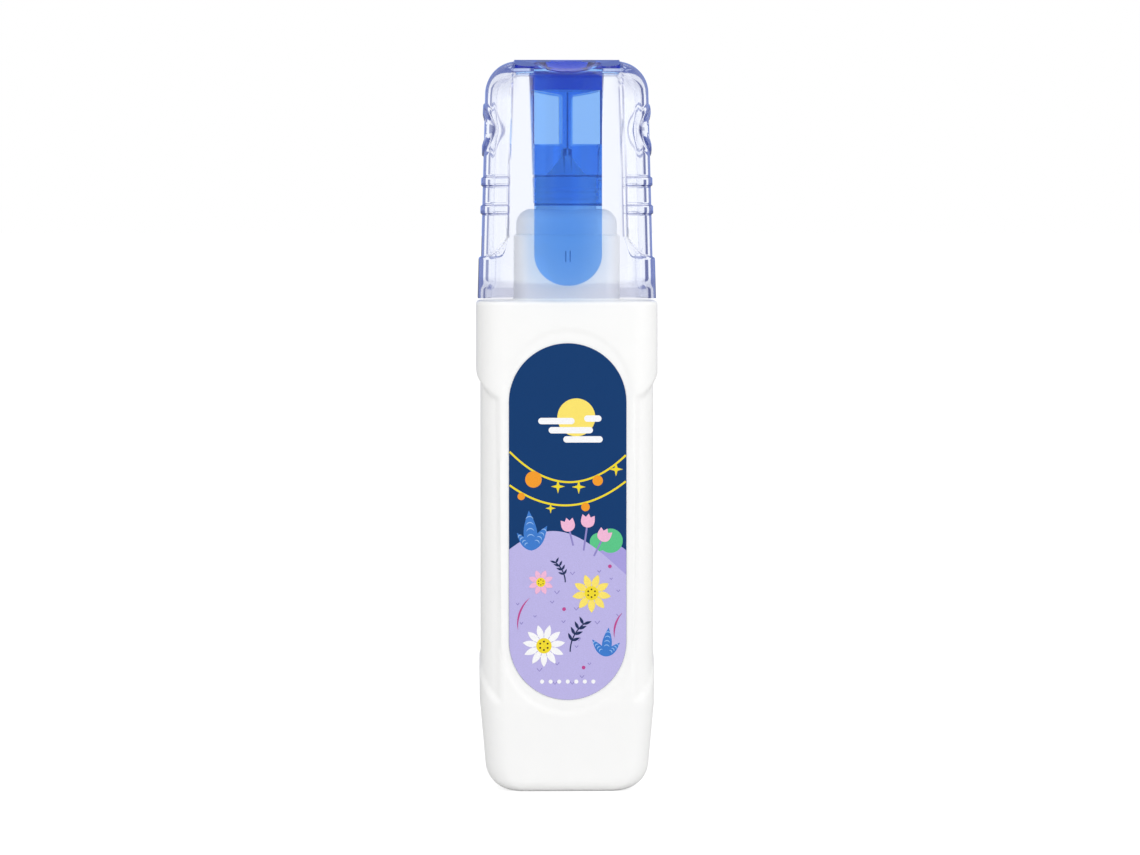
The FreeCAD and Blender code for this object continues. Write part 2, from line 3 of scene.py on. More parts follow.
import bpy
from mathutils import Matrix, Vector


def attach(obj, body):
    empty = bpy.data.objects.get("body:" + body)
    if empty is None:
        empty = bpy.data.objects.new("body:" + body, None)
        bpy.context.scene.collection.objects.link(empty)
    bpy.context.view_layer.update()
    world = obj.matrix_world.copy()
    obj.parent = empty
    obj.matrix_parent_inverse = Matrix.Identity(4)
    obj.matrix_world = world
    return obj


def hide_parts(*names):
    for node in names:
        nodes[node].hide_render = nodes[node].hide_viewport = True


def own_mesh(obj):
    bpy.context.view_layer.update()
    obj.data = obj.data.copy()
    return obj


# Correction fluid bottle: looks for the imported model, in metres, label and clip towards -Y.
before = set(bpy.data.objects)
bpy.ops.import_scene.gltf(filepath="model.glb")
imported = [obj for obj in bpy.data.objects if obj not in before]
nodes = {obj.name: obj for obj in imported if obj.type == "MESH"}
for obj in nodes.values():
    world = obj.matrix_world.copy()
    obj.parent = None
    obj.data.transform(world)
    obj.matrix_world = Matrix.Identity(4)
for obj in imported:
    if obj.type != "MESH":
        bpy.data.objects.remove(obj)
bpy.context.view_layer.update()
bpy.ops.object.select_all(action="DESELECT")
print("frame loaded:", len(nodes), "nodes")


# helpers
def mm(value):
    return value / 1000


def toLinear(hexColour):
    # sRGB hex to the linear numbers that the shader works in
    parts = [int(hexColour[i:i + 2], 16) / 255 for i in (1, 3, 5)]
    linear = [p / 12.92 if p <= 0.04045 else ((p + 0.055) / 1.055) ** 2.4 for p in parts]
    return (*linear, 1.0)


def newMaterial(name):
    material = bpy.data.materials.new(name)
    material.use_nodes = True
    tree = material.node_tree
    return material, tree, tree.nodes["Principled BSDF"]


def feed(tree, node, inputs):
    # an input that is a socket is linked, anything else is set
    for key, value in inputs.items():
        if isinstance(value, bpy.types.NodeSocket):
            tree.links.new(value, node.inputs[key])
        else:
            node.inputs[key].default_value = value


def addNode(tree, kind, inputs=None, **settings):
    node = tree.nodes.new(kind)
    for key, value in settings.items():
        setattr(node, key, value)
    feed(tree, node, inputs or {})
    return node


def dress(obj, material):
    obj.data.materials.clear()
    obj.data.materials.append(material)


# finishes
def satinPolyethylene(name, hexColour, roughness):
    # squeeze-bottle polyethylene: milky, softly glossy, with a faint orange-peel skin
    material, tree, shader = newMaterial(name)
    place = addNode(tree, "ShaderNodeTexCoord").outputs["Object"]
    cloud = addNode(tree, "ShaderNodeTexNoise", {"Vector": place, "Scale": 260, "Detail": 3})
    tone = addNode(tree, "ShaderNodeMix", {
        "Factor": cloud.outputs["Fac"], "A": toLinear(hexColour), "B": toLinear("#FCFCFB")}, data_type="RGBA")
    peel = addNode(tree, "ShaderNodeTexNoise", {"Vector": place, "Scale": 2600, "Detail": 2})
    skin = addNode(tree, "ShaderNodeBump", {
        "Height": peel.outputs["Fac"], "Strength": 0.06, "Distance": mm(0.05)})
    feed(tree, shader, {
        "Base Color": tone.outputs["Result"], "Normal": skin.outputs["Normal"],
        "Roughness": roughness, "IOR": 1.5, "Subsurface Weight": 0.15,
        "Subsurface Radius": (1, 1, 1), "Subsurface Scale": mm(0.6)})
    return material


def clearPlastic(name, faceHex, paintedShadeHex, paintedGlowHex, shadeEdgeRange, shade, roughness, clarity):
    # moulded polystyrene: clear, with a faint cast; where it is seen edge on its colour deepens to indigo,
    # painted shade for the dark that refraction brings to its edges
    material, tree, shader = newMaterial(name)
    # painted shade: the colour deepens where the surface is seen edge on
    facing = addNode(tree, "ShaderNodeLayerWeight", {"Blend": 0.5}).outputs["Facing"]
    edge = addNode(tree, "ShaderNodeMapRange", {
        "Value": facing, "From Min": shadeEdgeRange[0], "From Max": shadeEdgeRange[1]}, interpolation_type="SMOOTHSTEP")
    tone = addNode(tree, "ShaderNodeMix", {
        "Factor": edge.outputs["Result"], "A": toLinear(faceHex), "B": toLinear(paintedShadeHex)}, data_type="RGBA")
    # painted shade: the deep colour is laid along the edges of the relief, where the surface turns, as fine
    # indigo lines, and wherever else a vertex is marked for it
    line = addNode(tree, "ShaderNodeAttribute", attribute_name="paintedShadeLine")
    drawn = addNode(tree, "ShaderNodeMix", {
        "Factor": line.outputs["Fac"], "A": tone.outputs["Result"], "B": toLinear(paintedShadeHex)}, data_type="RGBA")
    # light on its way to other pieces passes, as it does through clear plastic
    rays = addNode(tree, "ShaderNodeLightPath").outputs
    lightOnly = addNode(tree, "ShaderNodeMath", {
        0: rays["Is Shadow Ray"], 1: rays["Is Diffuse Ray"]}, operation="MAXIMUM")
    solid = addNode(tree, "ShaderNodeMapRange", {"Value": lightOnly.outputs[0], "To Min": 1, "To Max": shade})
    place = addNode(tree, "ShaderNodeTexCoord").outputs["Object"]
    flow = addNode(tree, "ShaderNodeTexNoise", {"Vector": place, "Scale": 90, "Detail": 1})
    waves = addNode(tree, "ShaderNodeBump", {
        "Height": flow.outputs["Fac"], "Strength": 0.05, "Distance": mm(0.1)})
    feed(tree, shader, {
        "Base Color": drawn.outputs["Result"], "Alpha": solid.outputs["Result"],
        "Normal": waves.outputs["Normal"], "Transmission Weight": clarity,
        "Roughness": roughness, "IOR": 1.44})
    # painted light: where rays stay caught between the walls, the plastic glows in its own colour instead of
    # going dark
    caught = addNode(tree, "ShaderNodeMath", {0: rays["Glossy Depth"], 1: 2.5}, operation="GREATER_THAN")
    deep = addNode(tree, "ShaderNodeEmission", {"Color": toLinear(paintedGlowHex), "Strength": 1})
    ending = addNode(tree, "ShaderNodeMixShader", {
        "Fac": caught.outputs[0], 1: shader.outputs[0], 2: deep.outputs[0]})
    feed(tree, tree.nodes["Material Output"], {"Surface": ending.outputs[0]})
    return material


def soak(material, hexColour, density):
    # colour that deepens with the thickness of the plastic
    tree = material.node_tree
    body = addNode(tree, "ShaderNodeVolumeAbsorption", {"Color": toLinear(hexColour), "Density": density})
    feed(tree, tree.nodes["Material Output"], {"Volume": body.outputs[0]})


def printedFilm(name, hexColour):
    # glossy printed film: a fine grain of ink, and a slow ripple that draws the shine upright
    material, tree, shader = newMaterial(name)
    place = addNode(tree, "ShaderNodeTexCoord").outputs["Object"]
    grain = addNode(tree, "ShaderNodeTexNoise", {"Vector": place, "Scale": 6500, "Detail": 1})
    value = addNode(tree, "ShaderNodeMapRange", {
        "Value": grain.outputs["Fac"], "To Min": 0.88, "To Max": 1.12})
    tone = addNode(tree, "ShaderNodeHueSaturation", {
        "Color": toLinear(hexColour), "Value": value.outputs["Result"]})
    upright = addNode(tree, "ShaderNodeMapping", {"Vector": place, "Scale": (1, 1, 0.08)})
    ripple = addNode(tree, "ShaderNodeTexNoise", {"Vector": upright.outputs[0], "Scale": 260, "Detail": 1})
    waves = addNode(tree, "ShaderNodeBump", {
        "Height": ripple.outputs["Fac"], "Strength": 0.25, "Distance": mm(0.2)})
    feed(tree, shader, {
        "Base Color": tone.outputs["Color"], "Normal": waves.outputs["Normal"],
        "Roughness": 0.3, "IOR": 1.3, "Coat Weight": 0.1, "Coat Roughness": 0.1})
    return material


def metalFinish(name, hexColour, markHex, roughness, metallic=1):
    # turned or drawn metal: fine marks round its axis, drawn 0.1 mm apart so that they show
    material, tree, shader = newMaterial(name)
    place = addNode(tree, "ShaderNodeTexCoord").outputs["Object"]
    marks = addNode(tree, "ShaderNodeTexWave", {
        "Vector": place, "Scale": 3000, "Distortion": 1.5}, bands_direction="Z")
    tone = addNode(tree, "ShaderNodeMix", {
        "Factor": marks.outputs["Fac"], "A": toLinear(hexColour), "B": toLinear(markHex)}, data_type="RGBA")
    feed(tree, shader, {
        "Base Color": tone.outputs["Result"], "Metallic": metallic, "Roughness": roughness})
    return material


whiteBottle = satinPolyethylene("satinWhitePolyethylene", "#F9F9F8", 0.42)
frostedPlug = satinPolyethylene("frostedWhitePlug", "#E6ECF7", 0.5)
cagePlastic = satinPolyethylene("naturalPolypropylene", "#EEEEEC", 0.5)
fluidWhite = satinPolyethylene("whiteFluid", "#FBFBFA", 0.2)
# for each clear plastic: its face colour, the deep colour of its painted shade, and the colour of its painted
# glow
clearStyrene = clearPlastic("clearVioletStyrene", "#FEFEFF", "#454C90", "#8792C6", shadeEdgeRange=(0.84, 0.98),
                            shade=0.02, roughness=0.02, clarity=1)
soak(clearStyrene, "#5E98E5", 54)
blueStyrene = clearPlastic("blueTranslucentStyrene", "#DCE8FF", "#1E4288", "#3A6CB4", shadeEdgeRange=(0.8, 0.97),
                           shade=0.05, roughness=0.03, clarity=0.985)
soak(blueStyrene, "#41C8F5", 660)
# the tip's plating is kept pale, because it hardly shows through the blue sleeve
platedTip = metalFinish("satinNickelPlate", "#F8F8F8", "#EDEDEE", 0.4, metallic=0.1)
needleSteel = metalFinish("stainlessPin", "#C4C4C6", "#B9BABD", 0.28)
springSteel = metalFinish("springWire", "#B4B4B6", "#B9BABD", 0.3)
ballSteel = metalFinish("bearingBall", "#C9C9CB", "#B9BABD", 0.15)
labelNavy = printedFilm("navyLabelFilm", "#073A70")
print("finishes made")

finishes = {
    "bottle_shell": whiteBottle,
    "front_label": labelNavy,
    "nozzle_plug": frostedPlug,
    "metal_tip": platedTip,
    "valve_needle": needleSteel,
    "valve_spring": springSteel,
    "spring_cage": cagePlastic,
    "mixing_ball": ballSteel,
    "correction_fluid": fluidWhite,
    "cap_shell": clearStyrene,
    "cap_insert": blueStyrene,
}
for nodeName, material in finishes.items():
    dress(nodes[nodeName], material)


# modelling helpers
def objectMode():
    bpy.ops.object.mode_set(mode="OBJECT")


def editMode(obj):
    if bpy.context.object and bpy.context.object.mode == "EDIT":
        objectMode()
    bpy.ops.object.select_all(action="DESELECT")
    obj.select_set(True)
    bpy.context.view_layer.objects.active = obj
    bpy.ops.object.mode_set(mode="EDIT")


def pickVertices(obj, test):
    # selects, in edit mode, the vertices whose place passes the test
    objectMode()
    mesh = obj.data
    for item in (*mesh.edges, *mesh.polygons):
        item.select = False
    for vertex in mesh.vertices:
        vertex.select = test(vertex.co * 1000)
    editMode(obj)
    bpy.ops.mesh.select_mode(type="VERT")


def applyModifier(obj, kind, **settings):
    modifier = obj.modifiers.new(kind.title(), kind)
    for key, value in settings.items():
        setattr(modifier, key, value)
    bpy.context.view_layer.objects.active = obj
    bpy.ops.object.modifier_apply(modifier=modifier.name)


def joinPieces(pieces):
    bpy.ops.object.select_all(action="DESELECT")
    for piece in pieces:
        piece.select_set(True)
    bpy.context.view_layer.objects.active = pieces[0]
    bpy.ops.object.join()
    return pieces[0]


def spread(low, high, step):
    # heights from low to high, about a step apart, without low itself
    count = max(1, round(abs(high - low) / step))
    return [low + (high - low) * (i + 1) / count for i in range(count)]


def mixed(low, high, share):
    return low + (high - low) * share


def smooth(low, high, value):
    # 0 below low, 1 above high, and a soft step between
    share = min(max((value - low) / (high - low), 0), 1)
    return share * share * (3 - 2 * share)


def roundRing(level, radius, step, arcSegments):
    # a level rectangle with round corners, its edge divided about every step
    height, width, depth = level
    bpy.ops.object.select_all(action="DESELECT")
    bpy.ops.mesh.primitive_plane_add(size=1, location=(0, 0, 0))
    ring = bpy.context.object
    editMode(ring)
    bpy.ops.transform.resize(value=(mm(width), mm(depth), 1), center_override=(0, 0, 0))
    bpy.ops.transform.translate(value=(0, 0, mm(height)))
    bpy.ops.mesh.bevel(offset=mm(radius), segments=arcSegments, profile=0.5, affect="VERTICES")
    bpy.ops.mesh.select_all(action="SELECT")
    bpy.ops.mesh.delete(type="ONLY_FACE")
    for axis, length in ((0, width - 2 * radius), (1, depth - 2 * radius)):
        objectMode()
        places = [v.co for v in ring.data.vertices]
        for vertex in ring.data.vertices:
            vertex.select = False
        for edge in ring.data.edges:
            reach = abs(places[edge.vertices[0]][axis] - places[edge.vertices[1]][axis])
            edge.select = abs(reach - mm(length)) < mm(0.001)
        editMode(ring)
        bpy.ops.mesh.select_mode(type="EDGE")
        bpy.ops.mesh.subdivide(number_cuts=round(length / step) - 1)
    bpy.ops.mesh.select_all(action="SELECT")
    return ring


def raiseRing(levels):
    # extrudes the selected ring from level to level; a level is (height, width, depth)
    for (low, wideLow, deepLow), (high, wide, deep) in zip(levels, levels[1:]):
        bpy.ops.mesh.extrude_edges_move(TRANSFORM_OT_translate={"value": (0, 0, mm(high - low))})
        bpy.ops.transform.resize(value=(wide / wideLow, deep / deepLow, 1), center_override=(0, 0, mm(high)))


def closeRing(height, shares=(0.5, 0.1)):
    # runs the selected ring in to a point
    for share, before in zip(shares, (1, *shares)):
        bpy.ops.mesh.extrude_edges_move(TRANSFORM_OT_translate={"value": (0, 0, 0)})
        bpy.ops.transform.resize(value=(share / before, share / before, 1),
                                 center_override=(0, 0, mm(height)))
    bpy.ops.mesh.merge(type="CENTER")


def faceOutwards(obj):
    editMode(obj)
    bpy.ops.mesh.select_all(action="SELECT")
    bpy.ops.mesh.normals_make_consistent(inside=False)
    objectMode()


def pressIn(obj, depthAt):
    # moves the skin in along its normals by depthAt(place, normal), at most 1 mm
    faceOutwards(obj)
    group = obj.vertex_groups.new(name="relief")
    for vertex in obj.data.vertices:
        depth = depthAt(vertex.co * 1000, vertex.normal)
        if depth > 1e-5:
            group.add([vertex.index], depth, "REPLACE")
    applyModifier(obj, "DISPLACE", direction="NORMAL", mid_level=0, strength=mm(-1), vertex_group="relief")
    obj.vertex_groups.clear()


def keepPaintedShade(obj, values):
    # painted shade: how far each vertex takes the deep colour of the clear plastic; those past the list take
    # none
    kept = obj.data.attributes.new("paintedShadeLine", "FLOAT", "POINT")
    for index, value in enumerate(values):
        kept.data[index].value = value


def finishPiece(obj, name, body, slot, material, angle, *replaced):
    objectMode()
    obj.name = name
    obj.data.name = name
    faceOutwards(obj)
    bpy.ops.object.transform_apply(location=True, rotation=True, scale=True)
    bpy.ops.object.shade_smooth_by_angle(angle=math.radians(angle))
    if material:
        dress(obj, material)
    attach(obj, body)
    if replaced:
        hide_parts(*replaced)
    obj.select_set(False)


# white bottle
bottle = {
    "shoulder": (29.7, 16.49),    # width and depth, mm
    "taperTop": (28.6, 14.5),     # width there, and its height
    "base": (26.0, 14.99),        # at the floor, before the edge is rounded
    "cornerRadius": 3.8,
    "sideRadius": 4.4,            # of the base's edge
    "faceRadius": 2.0,
    "bandLow": 69.2,
    "top": 80.6,
    "topRadius": 0.6,
    "neck": (17.3, 12.39),
    "neckFoot": ((0, 4, 1.4), (0, 1, 0.6), (0.15, 0.3, 0.2), (0.5, 0, 0)),   # rise, and added to the neck
    "neckTop": 91.4,
    "gripWidth": 28.3,
    "gripDepth": 0.35,
    "gripLine": 11.1,
    "gripHigh": (70.0, 5.2),      # at the middle of the side, and how far it drops at the front
    "gripLow": (22.6, 7.9),
    "panel": (10.5, 13.0, 76.0, 0.2),   # half width, low end, high end, depth
    "wall": 1.2,
    "dish": ((0, 15.0, 9.39), (0.35, 14.4, 8.79), (0.5, 14.0, 8.39)),   # levels inside the standing ring
    "cavityLow": 14.5,            # from there down the inside runs in
    "cavityEnd": ((4.4, 24.39, 12.35), (1.6, 21.19, 11.85)),
    "step": 0.42,
}


def bottleLevel(height):
    # width and depth of the smooth body at a height
    baseWide, baseDeep = bottle["base"]
    taperWide, taperTop = bottle["taperTop"]
    wide, deep = bottle["shoulder"]
    if height < taperTop:
        share = height / taperTop
        return mixed(baseWide, taperWide, share), mixed(baseDeep, deep, share)
    return mixed(taperWide, wide, min((height - taperTop) / (bottle["bandLow"] - taperTop), 1)), deep


def footLevel(height):
    wide, deep = bottleLevel(height)
    sideDrop = max(bottle["sideRadius"] - height, 0)
    faceDrop = max(bottle["faceRadius"] - height, 0)
    side = bottle["sideRadius"] - math.sqrt(bottle["sideRadius"] ** 2 - sideDrop ** 2)
    face = bottle["faceRadius"] - math.sqrt(bottle["faceRadius"] ** 2 - faceDrop ** 2)
    return height, wide - 2 * side, deep - 2 * face


def bottleRelief(place, normal):
    # the grips at the sides and the label's panel, front and back
    x, y, z = abs(place.x), abs(place.y), place.z
    if z > bottle["top"] - 1:
        return 0
    across = (y / (bottle["shoulder"][1] / 2)) ** 2
    high = bottle["gripHigh"][0] - bottle["gripHigh"][1] * across
    low = bottle["gripLow"][0] - bottle["gripLow"][1] * across
    inside = smooth(bottle["gripLine"] - 0.1, bottle["gripLine"] + 0.5, x)
    inside *= smooth(low - 0.4, low + 0.5, z) * (1 - smooth(high - 0.5, high + 0.3, z))
    sideDepth = max(bottleLevel(z)[0] / 2 - bottle["gripWidth"] / 2, 0)
    grip = inside * (sideDepth * abs(normal.x) + bottle["gripDepth"] * abs(normal.y))
    half, panelLow, panelHigh, depth = bottle["panel"]
    middle = min(max(z, panelLow + half), panelHigh - half)
    away = math.hypot(x, z - middle)
    return grip + depth * (1 - smooth(half - 0.35, half + 0.15, away)) * smooth(0.5, 0.9, abs(normal.y))


def makeBottle():
    wide, deep = bottle["shoulder"]
    wall, top, neckTop = bottle["wall"], bottle["top"], bottle["neckTop"]
    start = bottle["sideRadius"]
    body = [(z, *bottleLevel(z)) for z in [start] + spread(start, top - bottle["topRadius"], bottle["step"])]
    edge = []
    for angle in range(15, 91, 15):
        out = bottle["topRadius"] * (1 - math.cos(math.radians(angle)))
        up = bottle["topRadius"] * math.sin(math.radians(angle))
        edge.append((top - bottle["topRadius"] + up, wide - 2 * out, deep - 2 * out))
    neckWide, neckDeep = bottle["neck"]
    neck = [(top + up, neckWide + wider, neckDeep + deeper) for up, wider, deeper in bottle["neckFoot"]]
    neck += [(z, neckWide, neckDeep) for z in spread(top + 0.5, neckTop - 0.3, 1.5)]
    neck += [(neckTop, neckWide - 0.5, neckDeep - 0.5)]
    shell = roundRing(body[0], bottle["cornerRadius"], bottle["step"], 12)
    raiseRing(body + edge + neck)
    pickVertices(shell, lambda place: place.z < start + 0.01)
    foot = [footLevel(start * (1 - math.cos(math.radians(a)))) for a in range(90, -1, -9)]
    raiseRing(foot + [*bottle["dish"]])
    closeRing(bottle["dish"][-1][0])
    pressIn(shell, bottleRelief)

    cavityWide = bottle["gripWidth"] - 2 * wall
    cavityDeep = deep - 2 * (wall + bottle["gripDepth"])
    throat = (neckWide - 2 * wall, neckDeep - 2 * wall)
    inside = [(neckTop, neckWide - 0.5, neckDeep - 0.5), (neckTop, *throat), (top - wall, *throat),
              (top - wall, cavityWide - 1, cavityDeep - 1), (top - wall - 0.5, cavityWide, cavityDeep)]
    inside += [(z, cavityWide, cavityDeep) for z in spread(top - wall - 0.5, bottle["cavityLow"], 8)]
    inside += bottle["cavityEnd"]
    pickVertices(shell, lambda place: place.z > neckTop - 0.01)
    raiseRing(inside)
    closeRing(bottle["cavityEnd"][-1][0])
    finishPiece(shell, "bottleBody", "bottle", "white_bottle", whiteBottle, 50, "bottle_shell")


makeBottle()
print("bottle made")


# clear cap
cap = {
    "rim": (81.0, 29.2, 16.19),   # height, width, depth
    "top": (119.7, 27.2, 15.39),
    "cornerRadius": 3.8,
    "shoulderRadius": 5.0,        # seen from the front
    "roofRadius": 0.9,            # seen from the side
    "sideSkin": 1.5,
    "faceSkin": 1.4,
    "roof": 1.6,
    "bandHeight": 2.6,            # of the wider room inside the rim
    "bandDepth": 0.35,
    "bandStep": (1.2, 1.8),       # below the band's top, and the height that its step takes
    "roomCorner": 3.5,            # of the inside, under the roof
    "rimPaintedShade": (0.4, 0.25, 0.0045),   # share of the deep colour painted as shade in the band, drop and curve of its top
    "cornerPaintedShade": (0.22, 113, 117, 7.4, 9.4),   # share of painted shade in the roof's corners, and where it rises: z, then x
    "recess": (0.4, 0.3),         # at the side, and at the front and back
    "recessLine": (10.1, 8.9),    # half the front band, at the rim and at the top
    "recessLow": (6.7, 3.3, 2.6),   # over the rim at the side, its rise at the front, and how late it comes
    "ribs": (13.8, 18.4),
    "ribHeight": 1.4,
    "ovalMiddle": 27.6,
    "oval": (7.3, 4.3),           # half width and half height of its outer line
    "ovalLine": 0.9,
    "relief": 0.3,
    "edge": 0.16,                 # half the width of a relief's sloping edge
    "shadeLineWeight": 0.6,            # under 1 the painted shade lines along these edges widen
    "sleeveHole": (6.245, 115, 121),          # radius and ends
    "rootRoom": ((-5.55, -10.5, 116.95), (5.55, -4.8, 121)),
    "crownRoom": ((-8.65, -10.5, 118.45), (8.65, 6.65, 121)),
    "levels": (0.45, 0.22),       # how far apart, and how far in the close spans over the rim
    "closeSpans": ((6.2, 10.2), (22.8, 32.4)),
    "step": 0.3,
}


def capLevel(height, skin=(0, 0), shoulderCut=0):
    low, wideLow, deepLow = cap["rim"]
    high, wideHigh, deepHigh = cap["top"]
    share = (height - low) / (high - low)
    wide, deep = mixed(wideLow, wideHigh, share) - 2 * skin[0], mixed(deepLow, deepHigh, share) - 2 * skin[1]
    top = high - (cap["roof"] if shoulderCut else 0)
    cuts = []
    for radius in (cap["shoulderRadius"] - shoulderCut, cap["roofRadius"]):
        rise = max(height - (top - radius), 0)
        cuts.append(radius - math.sqrt(max(radius ** 2 - rise ** 2, 0)))
    return height, wide - 2 * cuts[0], deep - 2 * cuts[1]


def capRelief(place, normal, asPaintedShade=False):
    # side recesses, in which two ribs and an oval line stand out again; with the last argument set it gives
    # instead the painted shade along their edges, over the rim's band and in the roof's corners
    x, y, z = abs(place.x), abs(place.y), place.z
    low, high = cap["rim"][0], cap["top"][0]
    edge = cap["edge"]
    share = (z - low) / (high - low)
    line = mixed(*cap["recessLine"], share)
    along = min(max((x - line) / (cap["rim"][1] / 2 - line), 0), 1)
    under, climb, lateness = cap["recessLow"]
    start = low + under + climb * (1 - along) ** lateness
    inside = smooth(line - edge, line + edge, x) * smooth(start - edge, start + edge, z)
    raised = 0
    for rib in cap["ribs"]:
        bottom = low + rib
        raised = max(raised, smooth(bottom - edge, bottom + edge, z)
                     * (1 - smooth(bottom + cap["ribHeight"] - edge, bottom + cap["ribHeight"] + edge, z)))
    halfWide, halfHigh = cap["oval"]
    away = math.hypot(y / halfWide, (z - low - cap["ovalMiddle"]) / halfHigh)
    reach = (away - 1) * min(halfWide, halfHigh)
    lineEnd = -cap["ovalLine"]
    raised = max(raised, smooth(lineEnd - edge, lineEnd + edge, reach) * (1 - smooth(-edge, edge, reach)))
    if asPaintedShade:
        # painted shade along the recess's own edge and round the ribs and the oval
        recessShadeLine = 4 * inside * (1 - inside)
        rim, drop, curve = cap["rimPaintedShade"]
        bandTop = low + cap["bandHeight"] - drop + curve * x ** 2
        corner, zLow, zHigh, xLow, xHigh = cap["cornerPaintedShade"]
        # painted shade: a deeper colour over the band inside the rim and in the roof's corners
        paintedShade = max(rim * (1 - smooth(bandTop - 0.35, bandTop + 0.35, z)),
                   corner * smooth(zLow, zHigh, z) * smooth(xLow, xHigh, x))
        line = max(recessShadeLine, 4 * raised * (1 - raised) * smooth(0.3, 0.7, inside))
        return max(line ** cap["shadeLineWeight"], paintedShade)
    full = cap["recess"][0] * abs(normal.x) + cap["recess"][1] * abs(normal.y)
    return inside * max(full - cap["relief"] * raised, 0)


def makeCap():
    low, high = cap["rim"][0], cap["top"][0]
    coarse, close = cap["levels"]
    fine = {round(z, 3) for z in spread(low, high, coarse)}
    for start, end in cap["closeSpans"]:
        fine |= {round(z, 3) for z in spread(low + start, low + end, close)}
    for rib in cap["ribs"]:
        for side in (rib, rib + cap["ribHeight"]):
            fine |= {round(low + side + cap["edge"] * share, 3) for share in (-1, -0.5, 0, 0.5, 1)}
    for angle in range(6, 91, 6):
        for radius in (cap["shoulderRadius"], cap["roofRadius"]):
            fine.add(round(high - radius + radius * math.sin(math.radians(angle)), 3))
    heights = [low]
    for z in sorted(fine):
        if z - heights[-1] > 0.05 and z < high:
            heights.append(z)
    levels = [capLevel(z) for z in heights] + [capLevel(high)]
    shell = roundRing(levels[0], cap["cornerRadius"], cap["step"], 16)
    raiseRing(levels)
    closeRing(high, (0.8, 0.5, 0.1))
    objectMode()
    # painted shade for each vertex, taken before the relief is pressed in
    lines = [capRelief(vertex.co * 1000, vertex.normal, True) for vertex in shell.data.vertices]
    pressIn(shell, capRelief)

    skin = (cap["sideSkin"], cap["faceSkin"])
    wider = (skin[0] - cap["bandDepth"], skin[1] - cap["bandDepth"])
    bandTop = low + cap["bandHeight"]
    ceiling = high - cap["roof"]
    below, rise = cap["bandStep"]
    inside = [capLevel(low), capLevel(low, wider), capLevel(bandTop - below, wider)]
    for share in (0.15, 0.3, 0.45, 0.6, 0.75, 0.9, 1.0):
        step = cap["bandDepth"] * (1 - smooth(0, 1, share))
        inside.append(capLevel(bandTop - below + rise * share, (skin[0] - step, skin[1] - step)))
    corner = cap["roomCorner"]
    upper = spread(bandTop - below + rise, ceiling - corner - 0.5, 2.5)
    upper += [ceiling - corner + corner * math.sin(math.radians(a)) for a in range(10, 91, 10)]
    inside += [capLevel(z, skin, cap["sideSkin"]) for z in upper]
    pickVertices(shell, lambda place: place.z < low + 0.01)
    raiseRing(inside)
    closeRing(ceiling, (0.6, 0.1))
    objectMode()
    keepPaintedShade(shell, lines)
    return shell


def boxAt(low, high):
    # a box from its low corner to its high corner, in mm
    middle = [mm(a + b) / 2 for a, b in zip(low, high)]
    bpy.ops.mesh.primitive_cube_add(size=1, location=(0, 0, 0))
    box = bpy.context.object
    editMode(box)
    bpy.ops.transform.resize(value=[mm(b - a) for a, b in zip(low, high)], center_override=(0, 0, 0))
    bpy.ops.transform.translate(value=middle)
    objectMode()
    return box


def makeCrownCutters():
    # the room in the cap's roof for the blue crown, the root of its clip and the top of its sleeve
    radius, low, high = cap["sleeveHole"]
    bpy.ops.mesh.primitive_cylinder_add(vertices=96, radius=mm(radius), depth=mm(high - low),
                                        location=(0, 0, mm(low + high) / 2))
    return bpy.context.object, boxAt(*cap["rootRoom"]), boxAt(*cap["crownRoom"])


def cutAway(obj, *tools):
    for tool in tools:
        applyModifier(obj, "BOOLEAN", operation="DIFFERENCE", solver="EXACT", object=tool)
        bpy.data.objects.remove(tool)


capShell = makeCap()
cutAway(capShell, *makeCrownCutters())
finishPiece(capShell, "clearCap", "cap", "clear_cap", clearStyrene, 35, "cap_shell")
print("cap made")


# blue insert: crown, clip and inner sleeve, one moulding
insert = {
    "sleeve": (96.1, 10.89, 118.6, 12.39),    # low end and its diameter, high end and its diameter
    "bore": (9.09, 115.1),                    # diameter, and where it ends
    "windows": (106.2, 115.0, 0.8, 4.9),      # low, high, and from the post to the side
    "grooves": (96.33, 101.0),                # heights of the grooves round the sleeve, each darkened with painted shade
    "postLine": (0.13, 105.5, 114.6),         # half width and ends of the line up the post
    "pockets": (0.14, 0.66, 104.3, 105.4),    # of the two square marks below it
    "windowArch": 0.9,                        # how far the windows' tops drop towards the post
    "crown": (8.6, 6.595, 118.5, 120.0),      # half width, back, underside, top
    "crownCorners": (3.0, 2.6),               # radii at the back and at the front
    "crownSlope": (-3.0, -8.9, 118.75),       # where the slope starts and ends, and its low edge
    "scoop": ((0, -9.0, 120.3), (6.3, 5.0, 2.75)),   # middle of the thumb's hollow, and its reach
    "clipHalfWidth": 5.5,
    "clipFace": (-10.87, -9.445),             # y of its front and of its back
    "clipEnd": (83.1, 5.1),                   # its low end, and how far the round end rises
    "bend": (-8.37, 117.0),                   # y and z of its centre
    "rootDepth": 5,                           # of the clip's root in the crown
    "partingLine": (0.1, 0.05, 86, 116),      # half width, height and ends of the raised line down the clip
    "gates": (0.35, 0.07, 0.12, 87.0, 88.8),  # place, half width, height and ends of the marks behind it
    "edge": 0.6,
}


